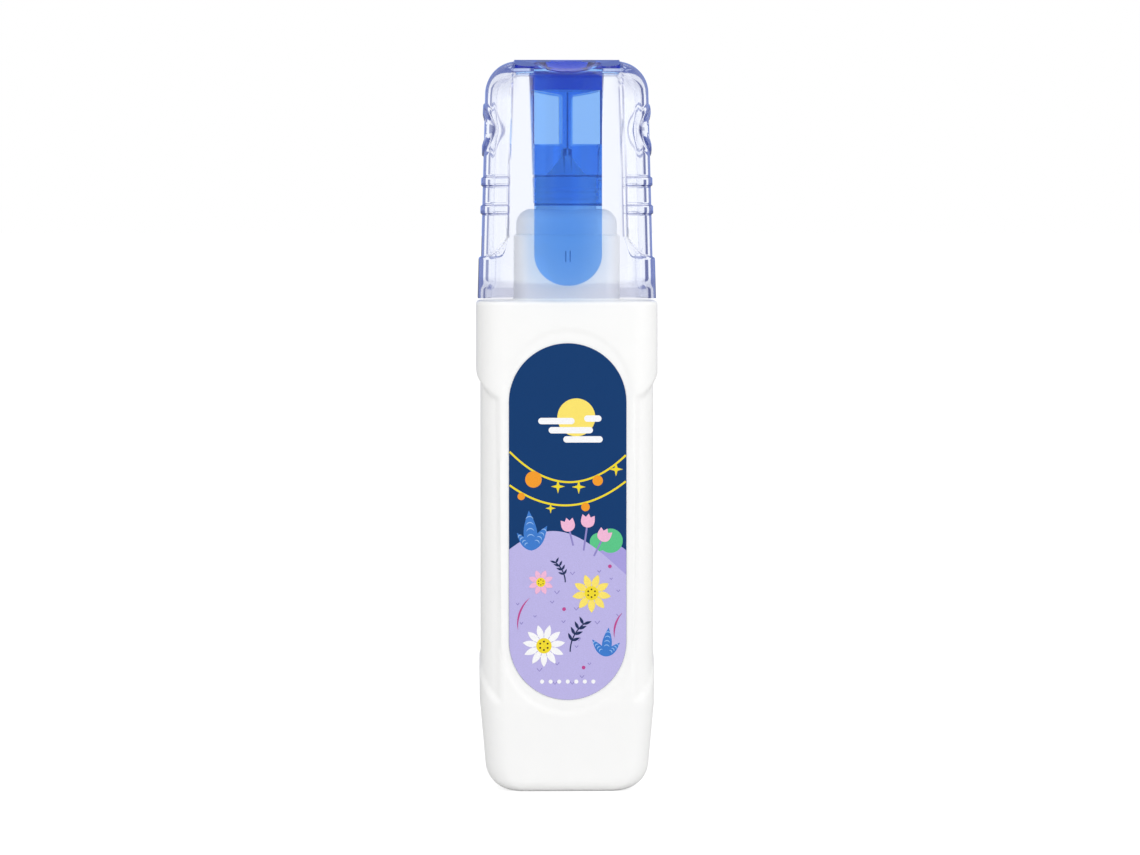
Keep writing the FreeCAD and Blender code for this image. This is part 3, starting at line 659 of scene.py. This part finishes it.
def makeClip():
    # built from its round end upwards, then round the bend to the crown
    front, back = insert["clipFace"]
    low, rise = insert["clipEnd"]
    half = insert["clipHalfWidth"]
    bendY, bendZ = insert["bend"]
    turns = [8 + 82 * i / 16 for i in range(17)]
    ends = [(low + rise * (1 - math.cos(math.radians(a))), half * math.sin(math.radians(a))) for a in turns]
    straight = [(z, half) for z in spread(low + rise, bendZ, 4)]
    clip = boxAt((-ends[0][1], front, ends[0][0] - 0.02), (ends[0][1], back, ends[0][0]))
    pickVertices(clip, lambda place: place.z > ends[0][0] - 0.01)
    for (z, wide), (nextZ, nextWide) in zip(ends + straight, (ends + straight)[1:]):
        bpy.ops.mesh.extrude_region_move(TRANSFORM_OT_translate={"value": (0, 0, mm(nextZ - z))})
        bpy.ops.transform.resize(value=(nextWide / wide, 1, 1), center_override=(0, 0, mm(nextZ)))
    for _ in range(10):
        bpy.ops.mesh.extrude_region_move(TRANSFORM_OT_translate={"value": (0, 0, 0)})
        bpy.ops.transform.rotate(value=math.radians(9), orient_axis="X",
                                 center_override=(0, mm(bendY), mm(bendZ)))
    bpy.ops.mesh.extrude_region_move(TRANSFORM_OT_translate={"value": (0, mm(insert["rootDepth"]), 0)})
    objectMode()
    applyModifier(clip, "BEVEL", width=mm(insert["edge"]), segments=4, limit_method="ANGLE",
                  angle_limit=math.radians(50))
    return clip


def makeCrown():
    # a plate with round corners, whose top slopes down to the front
    half, back, low, high = insert["crown"]
    start, end, edge = insert["crownSlope"]
    bpy.ops.mesh.primitive_plane_add(size=1, location=(0, 0, 0))
    crown = bpy.context.object
    editMode(crown)
    bpy.ops.transform.resize(value=(mm(2 * half), mm(back - end), 1), center_override=(0, 0, 0))
    bpy.ops.transform.translate(value=(0, mm(back + end) / 2, mm(low)))
    for edgeY, radius in zip((back, end), insert["crownCorners"]):
        pickVertices(crown, lambda place: abs(place.y - edgeY) < 0.01)
        bpy.ops.mesh.bevel(offset=mm(radius), segments=8, affect="VERTICES")
    bpy.ops.mesh.select_all(action="SELECT")
    bpy.ops.mesh.extrude_region_move(TRANSFORM_OT_translate={"value": (0, 0, mm(high - low))})
    objectMode()
    faceOutwards(crown)
    slope = boxAt((-10, end - 1, high), (10, start, high + 3))
    pickVertices(slope, lambda place: place.z < high + 0.1 and place.y < end)
    bpy.ops.transform.translate(value=(0, 0, mm(edge - high) * (start - end + 1) / (start - end)))
    objectMode()
    cutAway(crown, slope)
    return crown


def makeScoop():
    # the thumb's hollow in the crown, over the clip's root
    middle, reach = insert["scoop"]
    bpy.ops.mesh.primitive_uv_sphere_add(segments=64, ring_count=40, radius=1, location=(0, 0, 0))
    scoop = bpy.context.object
    editMode(scoop)
    bpy.ops.transform.resize(value=[mm(r) for r in reach], center_override=(0, 0, 0))
    bpy.ops.transform.translate(value=[mm(c) for c in middle])
    objectMode()
    return scoop


def makeWindow(side):
    # one window through the sleeve, arched along its top
    low, high, near, far = insert["windows"]
    window = boxAt((side * near if side > 0 else -far, -8, low), (far if side > 0 else -near, 8, high))
    pickVertices(window, lambda place: place.z > high - 0.1 and abs(place.x) < near + 0.1)
    bpy.ops.transform.translate(value=(0, 0, mm(-insert["windowArch"])))
    objectMode()
    return window


def addTo(obj, *others):
    for other in others:
        applyModifier(obj, "BOOLEAN", operation="UNION", solver="EXACT", object=other)
        bpy.data.objects.remove(other)


def insertPaintedShade(place):
    # painted shade: 1 where a groove, a pocket or a gate mark of the moulding gets a dark line of the deep
    # colour
    x, y, z = abs(place.x), place.y, place.z
    if insert["clipFace"][1] + 0.05 < y < insert["clipFace"][1] + 0.2 and x < 0.5:
        return 1
    onSleeve = y > -7 and math.hypot(x, y) < 6.3
    inGroove = any(abs(z - height) < 0.16 for height in insert["grooves"])
    atFront = -5.7 < y < -5.3 and x < 0.7 and insert["pockets"][2] - 0.1 < z < insert["postLine"][2] + 0.1
    return 1 if onSleeve and (inGroove or atFront) else 0


def makeInsert():
    low, wideLow, high, wideHigh = insert["sleeve"]
    bpy.ops.mesh.primitive_cone_add(vertices=128, radius1=mm(wideLow / 2), radius2=mm(wideHigh / 2),
                                    depth=mm(high - low), location=(0, 0, mm(low + high) / 2))
    piece = bpy.context.object
    bpy.ops.object.transform_apply(location=True, rotation=True, scale=True)
    root = boxAt((-insert["clipHalfWidth"], insert["bend"][0], insert["bend"][1]),
                 (insert["clipHalfWidth"], -4.9, insert["crown"][2] + 0.2))
    front, back = insert["clipFace"]
    half, height, start, end = insert["partingLine"]
    seam = boxAt((-half, front - height, start), (half, front + 0.27, end))
    place, half, height, start, end = insert["gates"]
    gates = [boxAt((x - half, back - 0.1, start), (x + half, back + height, end)) for x in (-place, place)]
    addTo(piece, makeCrown(), root, makeClip(), seam, *gates)
    bore, boreTop = insert["bore"]
    bpy.ops.mesh.primitive_cylinder_add(vertices=128, radius=mm(bore / 2), depth=mm(boreTop - 90),
                                        location=(0, 0, mm(boreTop + 90) / 2))
    hollow = bpy.context.object
    cutAway(piece, hollow, makeWindow(1), makeWindow(-1), makeScoop())
    for height in insert["grooves"]:
        share = (height - low) / (high - low)
        bpy.ops.mesh.primitive_torus_add(major_radius=mm(mixed(wideLow, wideHigh, share) / 2 + 0.03),
                                         minor_radius=mm(0.2), major_segments=128, minor_segments=12,
                                         location=(0, 0, mm(height)))
        cutAway(piece, bpy.context.object)
    lineHalf, lineLow, lineHigh = insert["postLine"]
    cutAway(piece, boxAt((-lineHalf, -7, lineLow), (lineHalf, -5.6, lineHigh)))
    near, far, under, over = insert["pockets"]
    cutAway(piece, boxAt((near, -7, under), (far, -5.4, over)), boxAt((-far, -7, under), (-near, -5.4, over)))
    # painted shade along the grooves, the pockets, the post's line and the gate marks
    keepPaintedShade(piece, [insertPaintedShade(vertex.co * 1000) for vertex in piece.data.vertices])
    finishPiece(piece, "blueInsert", "cap", "blue_insert", blueStyrene, 30, "cap_insert")


makeInsert()
print("insert made")


def makeValveCoil():
    coil = bpy.data.objects.new("valveCoil", nodes["valve_spring"].data.copy())
    bpy.context.scene.collection.objects.link(coil)
    editMode(coil)
    bpy.ops.mesh.select_all(action="SELECT")
    bpy.ops.mesh.remove_doubles(threshold=mm(0.001))
    finishPiece(coil, "valveCoil", "bottle", "spring_steel", springSteel, 40, "valve_spring")
    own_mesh(coil)


makeValveCoil()
print("spring made")


# the label's print: a night garden, each field of ink a thin flat shape
label = {
    "halfWidth": 9.6,
    "roundFrom": 24.9,  # height below which the film is round
    "face": -8.165,     # of the blank film
    "ink": 0.009,       # thickness of a layer
    "lift": 0.0002,     # of each shape over the one before, so that no two lie in one plane
    # base, rise, crest, spread
    "hills": (("deepLilac", 35.0, 6.2, 6.5, 4.5), ("lilac", 36.4, 6.6, -2.4, 7.2)),
    # low point, bend and its place across, then its lanterns, then its sparkles
    "garlands": (
        ((51.0, 0.052, 0.3), ((-5.6, 1.35), (4.9, 0.85)),
         ((-1.6, 0.9, 1.15), (1.8, 0.9, 1.15), (7.9, 0.9, 1.15))),
        ((47.2, 0.04, -0.4), ((-7.6, 0.6), (2.9, 0.7)), ((-2.8, 0.7, 0.85),))),
    "garlandWidth": 0.32,
    "moon": (1.4, 61.6, 3.1, 56),       # middle, radius and number of points
    "clouds": ((-2.6, 3.6, 59.5), (-4.3, 0.6, 61.0), (-0.2, 5.2, 58.0), (3.2, 5.0, 61.4)),   # ends and height
    "plants": ((-5.9, 39.8, ((6.6, -4), (4.8, 32), (3.8, -40))),
               (6.2, 22.4, ((4.8, 6), (3.6, -38), (3.3, 46)))),
    "buds": ((0.9, 40.6, 2.4, -14), (2.6, 39.8, 3.8, 8), (4.3, 38.9, 2.7, 26)),
    "bushes": ((7.0, 41.4, 2.0, 44), (5.1, 41.2, 1.5, 36)),
    "blades": ((-2.2, 27.6, 6.0, 262, 318), (12.6, 26.2, 5.0, 262, 312)),
    "flowers": ((-3.9, 24.2, 3.5, 11, "white"), (3.9, 32.8, 3.2, 9, "paleYellow"),
                (-4.4, 34.6, 2.1, 8, "pink")),
    "sprigs": ((0.4, 23.2, 4.8, 1), (-0.4, 34.6, 3.4, -1)),
    "pearls": (18.3, 0.34, 1.4),        # height, radius, and how far apart
    "berries": ((-0.6, 30.2), (6.9, 37.2), (2.6, 20.6)),
    "tickRows": (18.2, 36.0, 2.5),
    "tickMargin": 0.9,
    # rings round the flowers and the lower plant, which the ticks stay out of
    "tickFree": ((-3.9, 24.2, 3.9), (3.9, 32.8, 3.6), (-4.4, 34.6, 2.6), (6.2, 24.2, 3.2)),
}
inks = {
    "lilac": "#BCB5E6", "deepLilac": "#A79EDD", "violet": "#8F86C6", "navy": "#22325C",
    "yellow": "#F1DA2B", "paleYellow": "#FAE36C", "orange": "#F39C28", "white": "#F7F7F9",
    "blue": "#3C7BCD", "paleBlue": "#93BDEE", "green": "#5AC688", "pink": "#F1B8D6",
    "magenta": "#C0488F", "brown": "#4A3322",
}


def spoke(x, z, reach, turn):
    # the point at this reach from (x, z), turned from straight up to the right
    return x + reach * math.sin(turn), z + reach * math.cos(turn)


def disc(x, z, radius, points=36):
    return [(x + radius * math.cos(2 * math.pi * i / points), z + radius * math.sin(2 * math.pi * i / points))
            for i in range(points)]


def bar(left, right, z, radius):
    # a flat bar with round ends
    turns = [math.pi * i / 12 for i in range(13)]
    return [spoke(right, z, radius, a) for a in turns] + [spoke(left, z, -radius, a) for a in turns]


def sparkle(x, z, size):
    # a four-pointed diamond with hollow sides
    return [(x + size * (1, 0.3)[i % 2] * math.cos(math.pi * i / 4),
             z + size * (1, 0.3)[i % 2] * math.sin(math.pi * i / 4)) for i in range(8)]


def leaf(x, z, length, width, angle):
    # a pointed leaf from its stalk at (x, z); the angle is in degrees from straight up, to the right
    side = [(length * i / 12, width / 2 * math.sin(math.pi * (i / 12) ** 0.8)) for i in range(13)]
    blade = side + [(along, -out) for along, out in reversed(side[1:-1])]
    up, right = math.cos(math.radians(angle)), math.sin(math.radians(angle))
    return [(x + along * right + out * up, z + along * up - out * right) for along, out in blade]


def stroke(points, width, pointed=False):
    # a line of ink along the points, which runs out to a point at both ends if asked
    left, right = [], []
    for i, (x, z) in enumerate(points):
        before, after = points[max(i - 1, 0)], points[min(i + 1, len(points) - 1)]
        length = math.hypot(after[0] - before[0], after[1] - before[1])
        share = math.sin(math.pi * (i + 0.3) / (len(points) - 0.4)) if pointed else 1
        out = width / 2 * share / length
        left.append((x - (after[1] - before[1]) * out, z + (after[0] - before[0]) * out))
        right.append((x + (after[1] - before[1]) * out, z - (after[0] - before[0]) * out))
    return left + right[::-1]


def arcPoints(x, z, radius, start, end, points=16):
    # along a circle, angles in degrees from straight up, to the right
    turns = [math.radians(start + (end - start) * i / (points - 1)) for i in range(points)]
    return [spoke(x, z, radius, turn) for turn in turns]


def hill(base, rise, crest, width):
    # the film below a hill's line, down to the label's round end
    half = label["halfWidth"] - 0.02
    across = [half * (i / 40 - 1) for i in range(81)]
    line = [(x, base + rise * math.cos((x - crest) / width)) for x in across]
    return line + arcPoints(0, label["roundFrom"], half, 90, 270, 49)


def garland(x, low, bend, middle):
    # its height at x
    return low + bend * (x - middle) ** 2


def flower(x, z, radius, petals, ink):
    # pointed petals in one outline, with a fine line between each two
    outline, lines = [], []
    for i in range(petals * 10):
        turn = 2 * math.pi * i / (petals * 10)
        outline.append(spoke(x, z, radius * (0.52 + 0.48 * (1 - abs((i % 10) / 5 - 1)) ** 0.75), turn))
        if i % 10 == 0:
            ends = [spoke(x, z, radius * share, turn) for share in (0.3, 0.5)]
            lines.append(("lilac", 5, stroke(ends, 0.1)))
    seeds = [disc(*spoke(x, z, radius * 0.2, math.pi * i / 3), radius * 0.045, 10) for i in range(6)]
    return [(ink, 4, outline), *lines, ("yellow", 5, disc(x, z, radius * 0.36)),
            *[("brown", 6, seed) for seed in seeds]]


def sprig(x, z, size, lean):
    # a navy twig with pairs of leaves
    stem = arcPoints(x + size * 1.2 * lean, z, size * 1.2, -90 * lean, -35 * lean)
    shapes = [("navy", 3, stroke(stem, 0.2))]
    for i in (5, 8, 11, 14):
        for side in (-1, 1):
            shapes.append(("navy", 3, leaf(*stem[i], size * 0.3, size * 0.1, lean * 22 + side * 48)))
    return shapes


def bud(x, z, height, lean):
    # a pink bud on a stalk that leans to one side
    top = spoke(x, z, height, math.radians(lean))
    shapes = [("violet", 2, stroke([(x, z), top], 0.3))]
    return shapes + [("pink", 3, leaf(*top, 2.3, 1.3, lean + turn)) for turn in (-26, 26, 0)]


def plant(x, z, leans):
    # blue leaves with pale ribs, fanned out from one root
    shapes = []
    for length, lean in leans:
        shapes.append(("blue", 2, leaf(x, z, length, length * 0.34, lean)))
        for share in (0.3, 0.45, 0.6, 0.75):
            middle = spoke(x, z, length * share, math.radians(lean))
            rib = arcPoints(*middle, length * 0.1, lean - 70, lean + 70, 8)
            shapes.append(("paleBlue", 3, stroke(rib, 0.16, True)))
    return shapes


def bush(*sizes):
    return [("green", 1, disc(*sizes))]


def grass(*arc):
    return [("magenta", 3, stroke(arcPoints(*arc), 0.3, True))]


def tickMarks():
    # little grass ticks in uneven rows over the lilac ground, clear of the flowers
    low, high, gap = label["tickRows"]
    half = label["halfWidth"] - label["tickMargin"]
    shapes = []
    for row in range(int((high - low) / gap) + 1):
        for column in range(5):
            x = -7.2 + column * 3.6 + 1.7 * math.sin(row * 2.4 + column * 1.3)
            z = low + row * gap + 0.7 * math.cos(column * 2.1 + row)
            reach = math.sqrt(max(half ** 2 - max(label["roundFrom"] - z, 0) ** 2, 0))
            if abs(x) > reach or any(math.hypot(x - a, z - b) < r for a, b, r in label["tickFree"]):
                continue
            size = 0.42 + 0.12 * math.sin(row + column)
            tick = [(x - size, z + size * 0.9), (x - size * 0.25, z), (x + size * 0.55, z + size)]
            shapes.append(("violet", 2, stroke(tick, 0.15)))
    return shapes


def labelShapes():
    # (ink, layer, outline) of every shape, the lowest layer first
    shapes = [(ink, layer + 1, hill(*sizes)) for layer, (ink, *sizes) in enumerate(label["hills"])]
    across = [9.5 * (i / 30 - 1) for i in range(61)]
    for sizes, lanterns, sparkles in label["garlands"]:
        shapes.append(("yellow", 1, stroke([(x, garland(x, *sizes)) for x in across], label["garlandWidth"])))
        shapes += [("orange", 2, disc(x, garland(x, *sizes) - radius, radius)) for x, radius in lanterns]
        shapes += [("yellow", 2, sparkle(x, garland(x, *sizes) - drop, size)) for x, drop, size in sparkles]
    shapes.append(("paleYellow", 1, disc(*label["moon"])))
    shapes += [("white", 2, bar(*cloud, 0.52)) for cloud in label["clouds"]]
    for draw, places in ((plant, "plants"), (bud, "buds"), (bush, "bushes"), (grass, "blades"),
                         (flower, "flowers"), (sprig, "sprigs")):
        for sizes in label[places]:
            shapes += draw(*sizes)
    height, radius, apart = label["pearls"]
    shapes += tickMarks() + [("white", 3, disc(i * apart, height, radius, 16)) for i in range(-3, 4)]
    shapes += [("magenta", 3, disc(*place, 0.3, 16)) for place in label["berries"]]
    return sorted(shapes, key=lambda shape: shape[1])


def flatShape(outline, thickness, material):
    # a prism of ink with this outline, from inside the film outwards
    bpy.ops.mesh.primitive_circle_add(vertices=len(outline), radius=1, fill_type="NGON")
    shape = bpy.context.object
    start, end = label["face"] + 0.004, label["face"] - thickness
    for vertex, (x, z) in zip(shape.data.vertices, outline):
        vertex.co = (mm(x), mm(start), mm(z))
    bpy.ops.object.mode_set(mode="EDIT")
    bpy.ops.mesh.select_all(action="SELECT")
    bpy.ops.mesh.extrude_region_move(TRANSFORM_OT_translate={"value": (0, mm(end - start), 0)})
    objectMode()
    dress(shape, material)
    shape.select_set(False)
    return shape


def makeLabelPrint():
    ready = {ink: printedFilm(ink + "LabelInk", hexColour) for ink, hexColour in inks.items()}
    shapes = [flatShape(outline, layer * label["ink"] + order * label["lift"], ready[ink])
              for order, (ink, layer, outline) in enumerate(labelShapes())]
    finishPiece(joinPieces(shapes), "labelPrint", "bottle", "label_film", None, 30)


makeLabelPrint()
print("label printed")


# studio
studio = {
    "lens": 150.0,
    "distance": 0.784,
    "azimuth": -1.6,         # degrees, the camera stands a little to the left
    "elevation": 2.6,
    "aim": (0.0006, 0.0, 0.05957),
    "roomStrength": 0.70,    # of the room's light on the object; the camera sees it at 1
    "throughStrength": 1.1,  # of the backdrop seen through clear plastic
    "stripStrength": 0.7,    # of the dim strips beside the object, seen through clear plastic
    "stripHex": ("#B9C0E8", "#8089C2"),
    "backHex": "#9FB4EC",    # of the wall behind the object, in what shines
    "behindStrength": 0.2,   # of the room behind the camera and the table before it, for shine
    "overheadStrength": 2.0,    # of a softbox overhead, which only shines
    "stripStart": (0.72, 0.82),    # soft edges in the room: here 1 is straight to the side
    "stripEnd": (0.95, 0.985),
    "overhead": (0.55, 0.75),      # here 1 is straight up
    "backWall": (0.6, 0.9),        # here 1 is straight ahead of the camera, and -1 behind it
    "behind": (-0.9, -0.6),
    "behindLean": 0.7,             # share of the height that keeps the dark behind the camera low
    "floorGlow": 0.73,       # brings the floor up to the white of the room
    "key": ((0.46, -0.8, 0.5), (0.6, 0.9), 3.3),       # place, size and power
    "fill": ((-0.55, -0.75, 0.3), (0.5, 0.9), 1.1),
}


def lookAt(obj, target):
    obj.rotation_euler = (Vector(target) - obj.location).to_track_quat("-Z", "Y").to_euler()


def makeCamera():
    azimuth, elevation = math.radians(studio["azimuth"]), math.radians(studio["elevation"])
    back = Vector((math.sin(azimuth) * math.cos(elevation), -math.cos(azimuth) * math.cos(elevation),
                   math.sin(elevation)))
    bpy.ops.object.camera_add(location=Vector(studio["aim"]) + back * studio["distance"])
    camera = bpy.context.object
    camera.name = "photoCamera"
    camera.data.lens = studio["lens"]
    camera.data.clip_start = 0.01
    lookAt(camera, studio["aim"])
    bpy.context.scene.camera = camera


def softLight(name, place, size, power):
    bpy.ops.object.light_add(type="AREA", location=place)
    lamp = bpy.context.object
    lamp.name = name
    lamp.data.shape = "RECTANGLE"
    lamp.data.size, lamp.data.size_y = size
    lamp.data.energy = power
    lookAt(lamp, (0, 0, 0.06))


def makeRoom():
    world = bpy.data.worlds.new("paleRoom")
    bpy.context.scene.world = world
    world.use_nodes = True
    tree = world.node_tree
    rays = addNode(tree, "ShaderNodeLightPath").outputs
    generated = addNode(tree, "ShaderNodeTexCoord").outputs["Generated"]
    direction = addNode(tree, "ShaderNodeSeparateXYZ", {"Vector": generated}).outputs
    side = addNode(tree, "ShaderNodeMath", {0: direction["X"]}, operation="ABSOLUTE").outputs[0]
    leaned = addNode(tree, "ShaderNodeMath", {
        0: direction["Z"], 1: studio["behindLean"], 2: direction["Y"]}, operation="MULTIPLY_ADD").outputs[0]
    # soft steps over the directions of the room, from one level to another across each edge
    steps = {}
    for name, value, low, high in (
            ("stripStart", side, 1, 0),
            ("stripEnd", side, 0, 1),
            ("behind", leaned, studio["behindStrength"], 1),
            ("overhead", direction["Z"], 1, studio["overheadStrength"]),
            ("backWall", direction["Y"], 0, 1)):
        start, end = studio[name]
        steps[name] = addNode(tree, "ShaderNodeMapRange", {
            "Value": value, "From Min": start, "From Max": end, "To Min": low, "To Max": high},
            interpolation_type="SMOOTHSTEP").outputs["Result"]
    # dim upright strips beside the object darken what bends far through clear plastic
    white = addNode(tree, "ShaderNodeMath", {
        0: steps["stripStart"], 1: steps["stripEnd"]}, operation="MAXIMUM").outputs[0]
    bent = addNode(tree, "ShaderNodeMapRange", {
        "Value": white, "To Min": studio["stripStrength"], "To Max": studio["throughStrength"]})
    # shine sees a dark room behind the camera, so that what faces it shows its own colour, and the softbox
    shone = addNode(tree, "ShaderNodeMath", {
        0: steps["behind"], 1: steps["overhead"]}, operation="MULTIPLY")
    strength = studio["roomStrength"]
    for ray, seen in (("Is Glossy Ray", shone.outputs[0]),
                      ("Is Transmission Ray", bent.outputs["Result"]), ("Is Camera Ray", 1.0)):
        strength = addNode(tree, "ShaderNodeMix", {
            "Factor": rays[ray], "A": strength, "B": seen}, data_type="FLOAT").outputs["Result"]
    # the strips are lavender, deeper on the right
    strip = addNode(tree, "ShaderNodeMath", {0: 1.0, 1: white}, operation="SUBTRACT")
    cast = addNode(tree, "ShaderNodeMath", {
        0: strip.outputs[0], 1: rays["Is Transmission Ray"]}, operation="MULTIPLY")
    across = addNode(tree, "ShaderNodeMapRange", {"Value": direction["X"], "From Min": -0.5, "From Max": 0.5})
    leftHex, rightHex = studio["stripHex"]
    stripTone = addNode(tree, "ShaderNodeMix", {
        "Factor": across.outputs["Result"], "A": toLinear(leftHex), "B": toLinear(rightHex)},
        data_type="RGBA")
    tone = addNode(tree, "ShaderNodeMix", {
        "Factor": cast.outputs[0], "A": (1, 1, 1, 1), "B": stripTone.outputs["Result"]}, data_type="RGBA")
    # what shines at a glance shows a dimmer, bluer wall behind the object
    shine = addNode(tree, "ShaderNodeMath", {
        0: rays["Is Glossy Ray"], 1: rays["Is Transmission Ray"]}, operation="GREATER_THAN")
    glance = addNode(tree, "ShaderNodeMath", {
        0: steps["backWall"], 1: shine.outputs[0]}, operation="MULTIPLY")
    wall = addNode(tree, "ShaderNodeMix", {
        "Factor": glance.outputs[0], "A": tone.outputs["Result"], "B": toLinear(studio["backHex"])},
        data_type="RGBA")
    feed(tree, tree.nodes["Background"], {"Color": wall.outputs["Result"], "Strength": strength})
    world.cycles.sampling_method = "NONE"    # so that each ray sees the level meant for its kind


def makeFloor():
    bpy.ops.mesh.primitive_plane_add(size=40, location=(0, 0, 0))
    floor = bpy.context.object
    floor.name = "floor"
    material = bpy.data.materials.new("paleFloor")
    material.use_nodes = True
    tree = material.node_tree
    tree.nodes.clear()
    matt = addNode(tree, "ShaderNodeBsdfDiffuse", {"Color": toLinear("#F4F4F4")})
    shadow = addNode(tree, "ShaderNodeBsdfDiffuse", {"Color": (0.5, 0.5, 0.5, 1)})
    glow = addNode(tree, "ShaderNodeEmission", {"Color": (1, 1, 1, 1), "Strength": studio["floorGlow"]})
    both = addNode(tree, "ShaderNodeAddShader", {0: shadow.outputs[0], 1: glow.outputs[0]})
    dim = addNode(tree, "ShaderNodeEmission", {"Color": (1, 1, 1, 1), "Strength": studio["behindStrength"]})
    rays = addNode(tree, "ShaderNodeLightPath").outputs
    surface = matt
    for ray, look in (("Is Glossy Ray", dim), ("Is Transmission Ray", both), ("Is Camera Ray", both)):
        surface = addNode(tree, "ShaderNodeMixShader", {
            "Fac": rays[ray], 1: surface.outputs[0], 2: look.outputs[0]})
    addNode(tree, "ShaderNodeOutputMaterial", {"Surface": surface.outputs[0]})
    floor.data.materials.append(material)


bpy.context.scene.view_settings.view_transform = "Standard"
makeCamera()
makeRoom()
makeFloor()
softLight("keyLight", *studio["key"])
softLight("fillLight", *studio["fill"])
print("studio set")
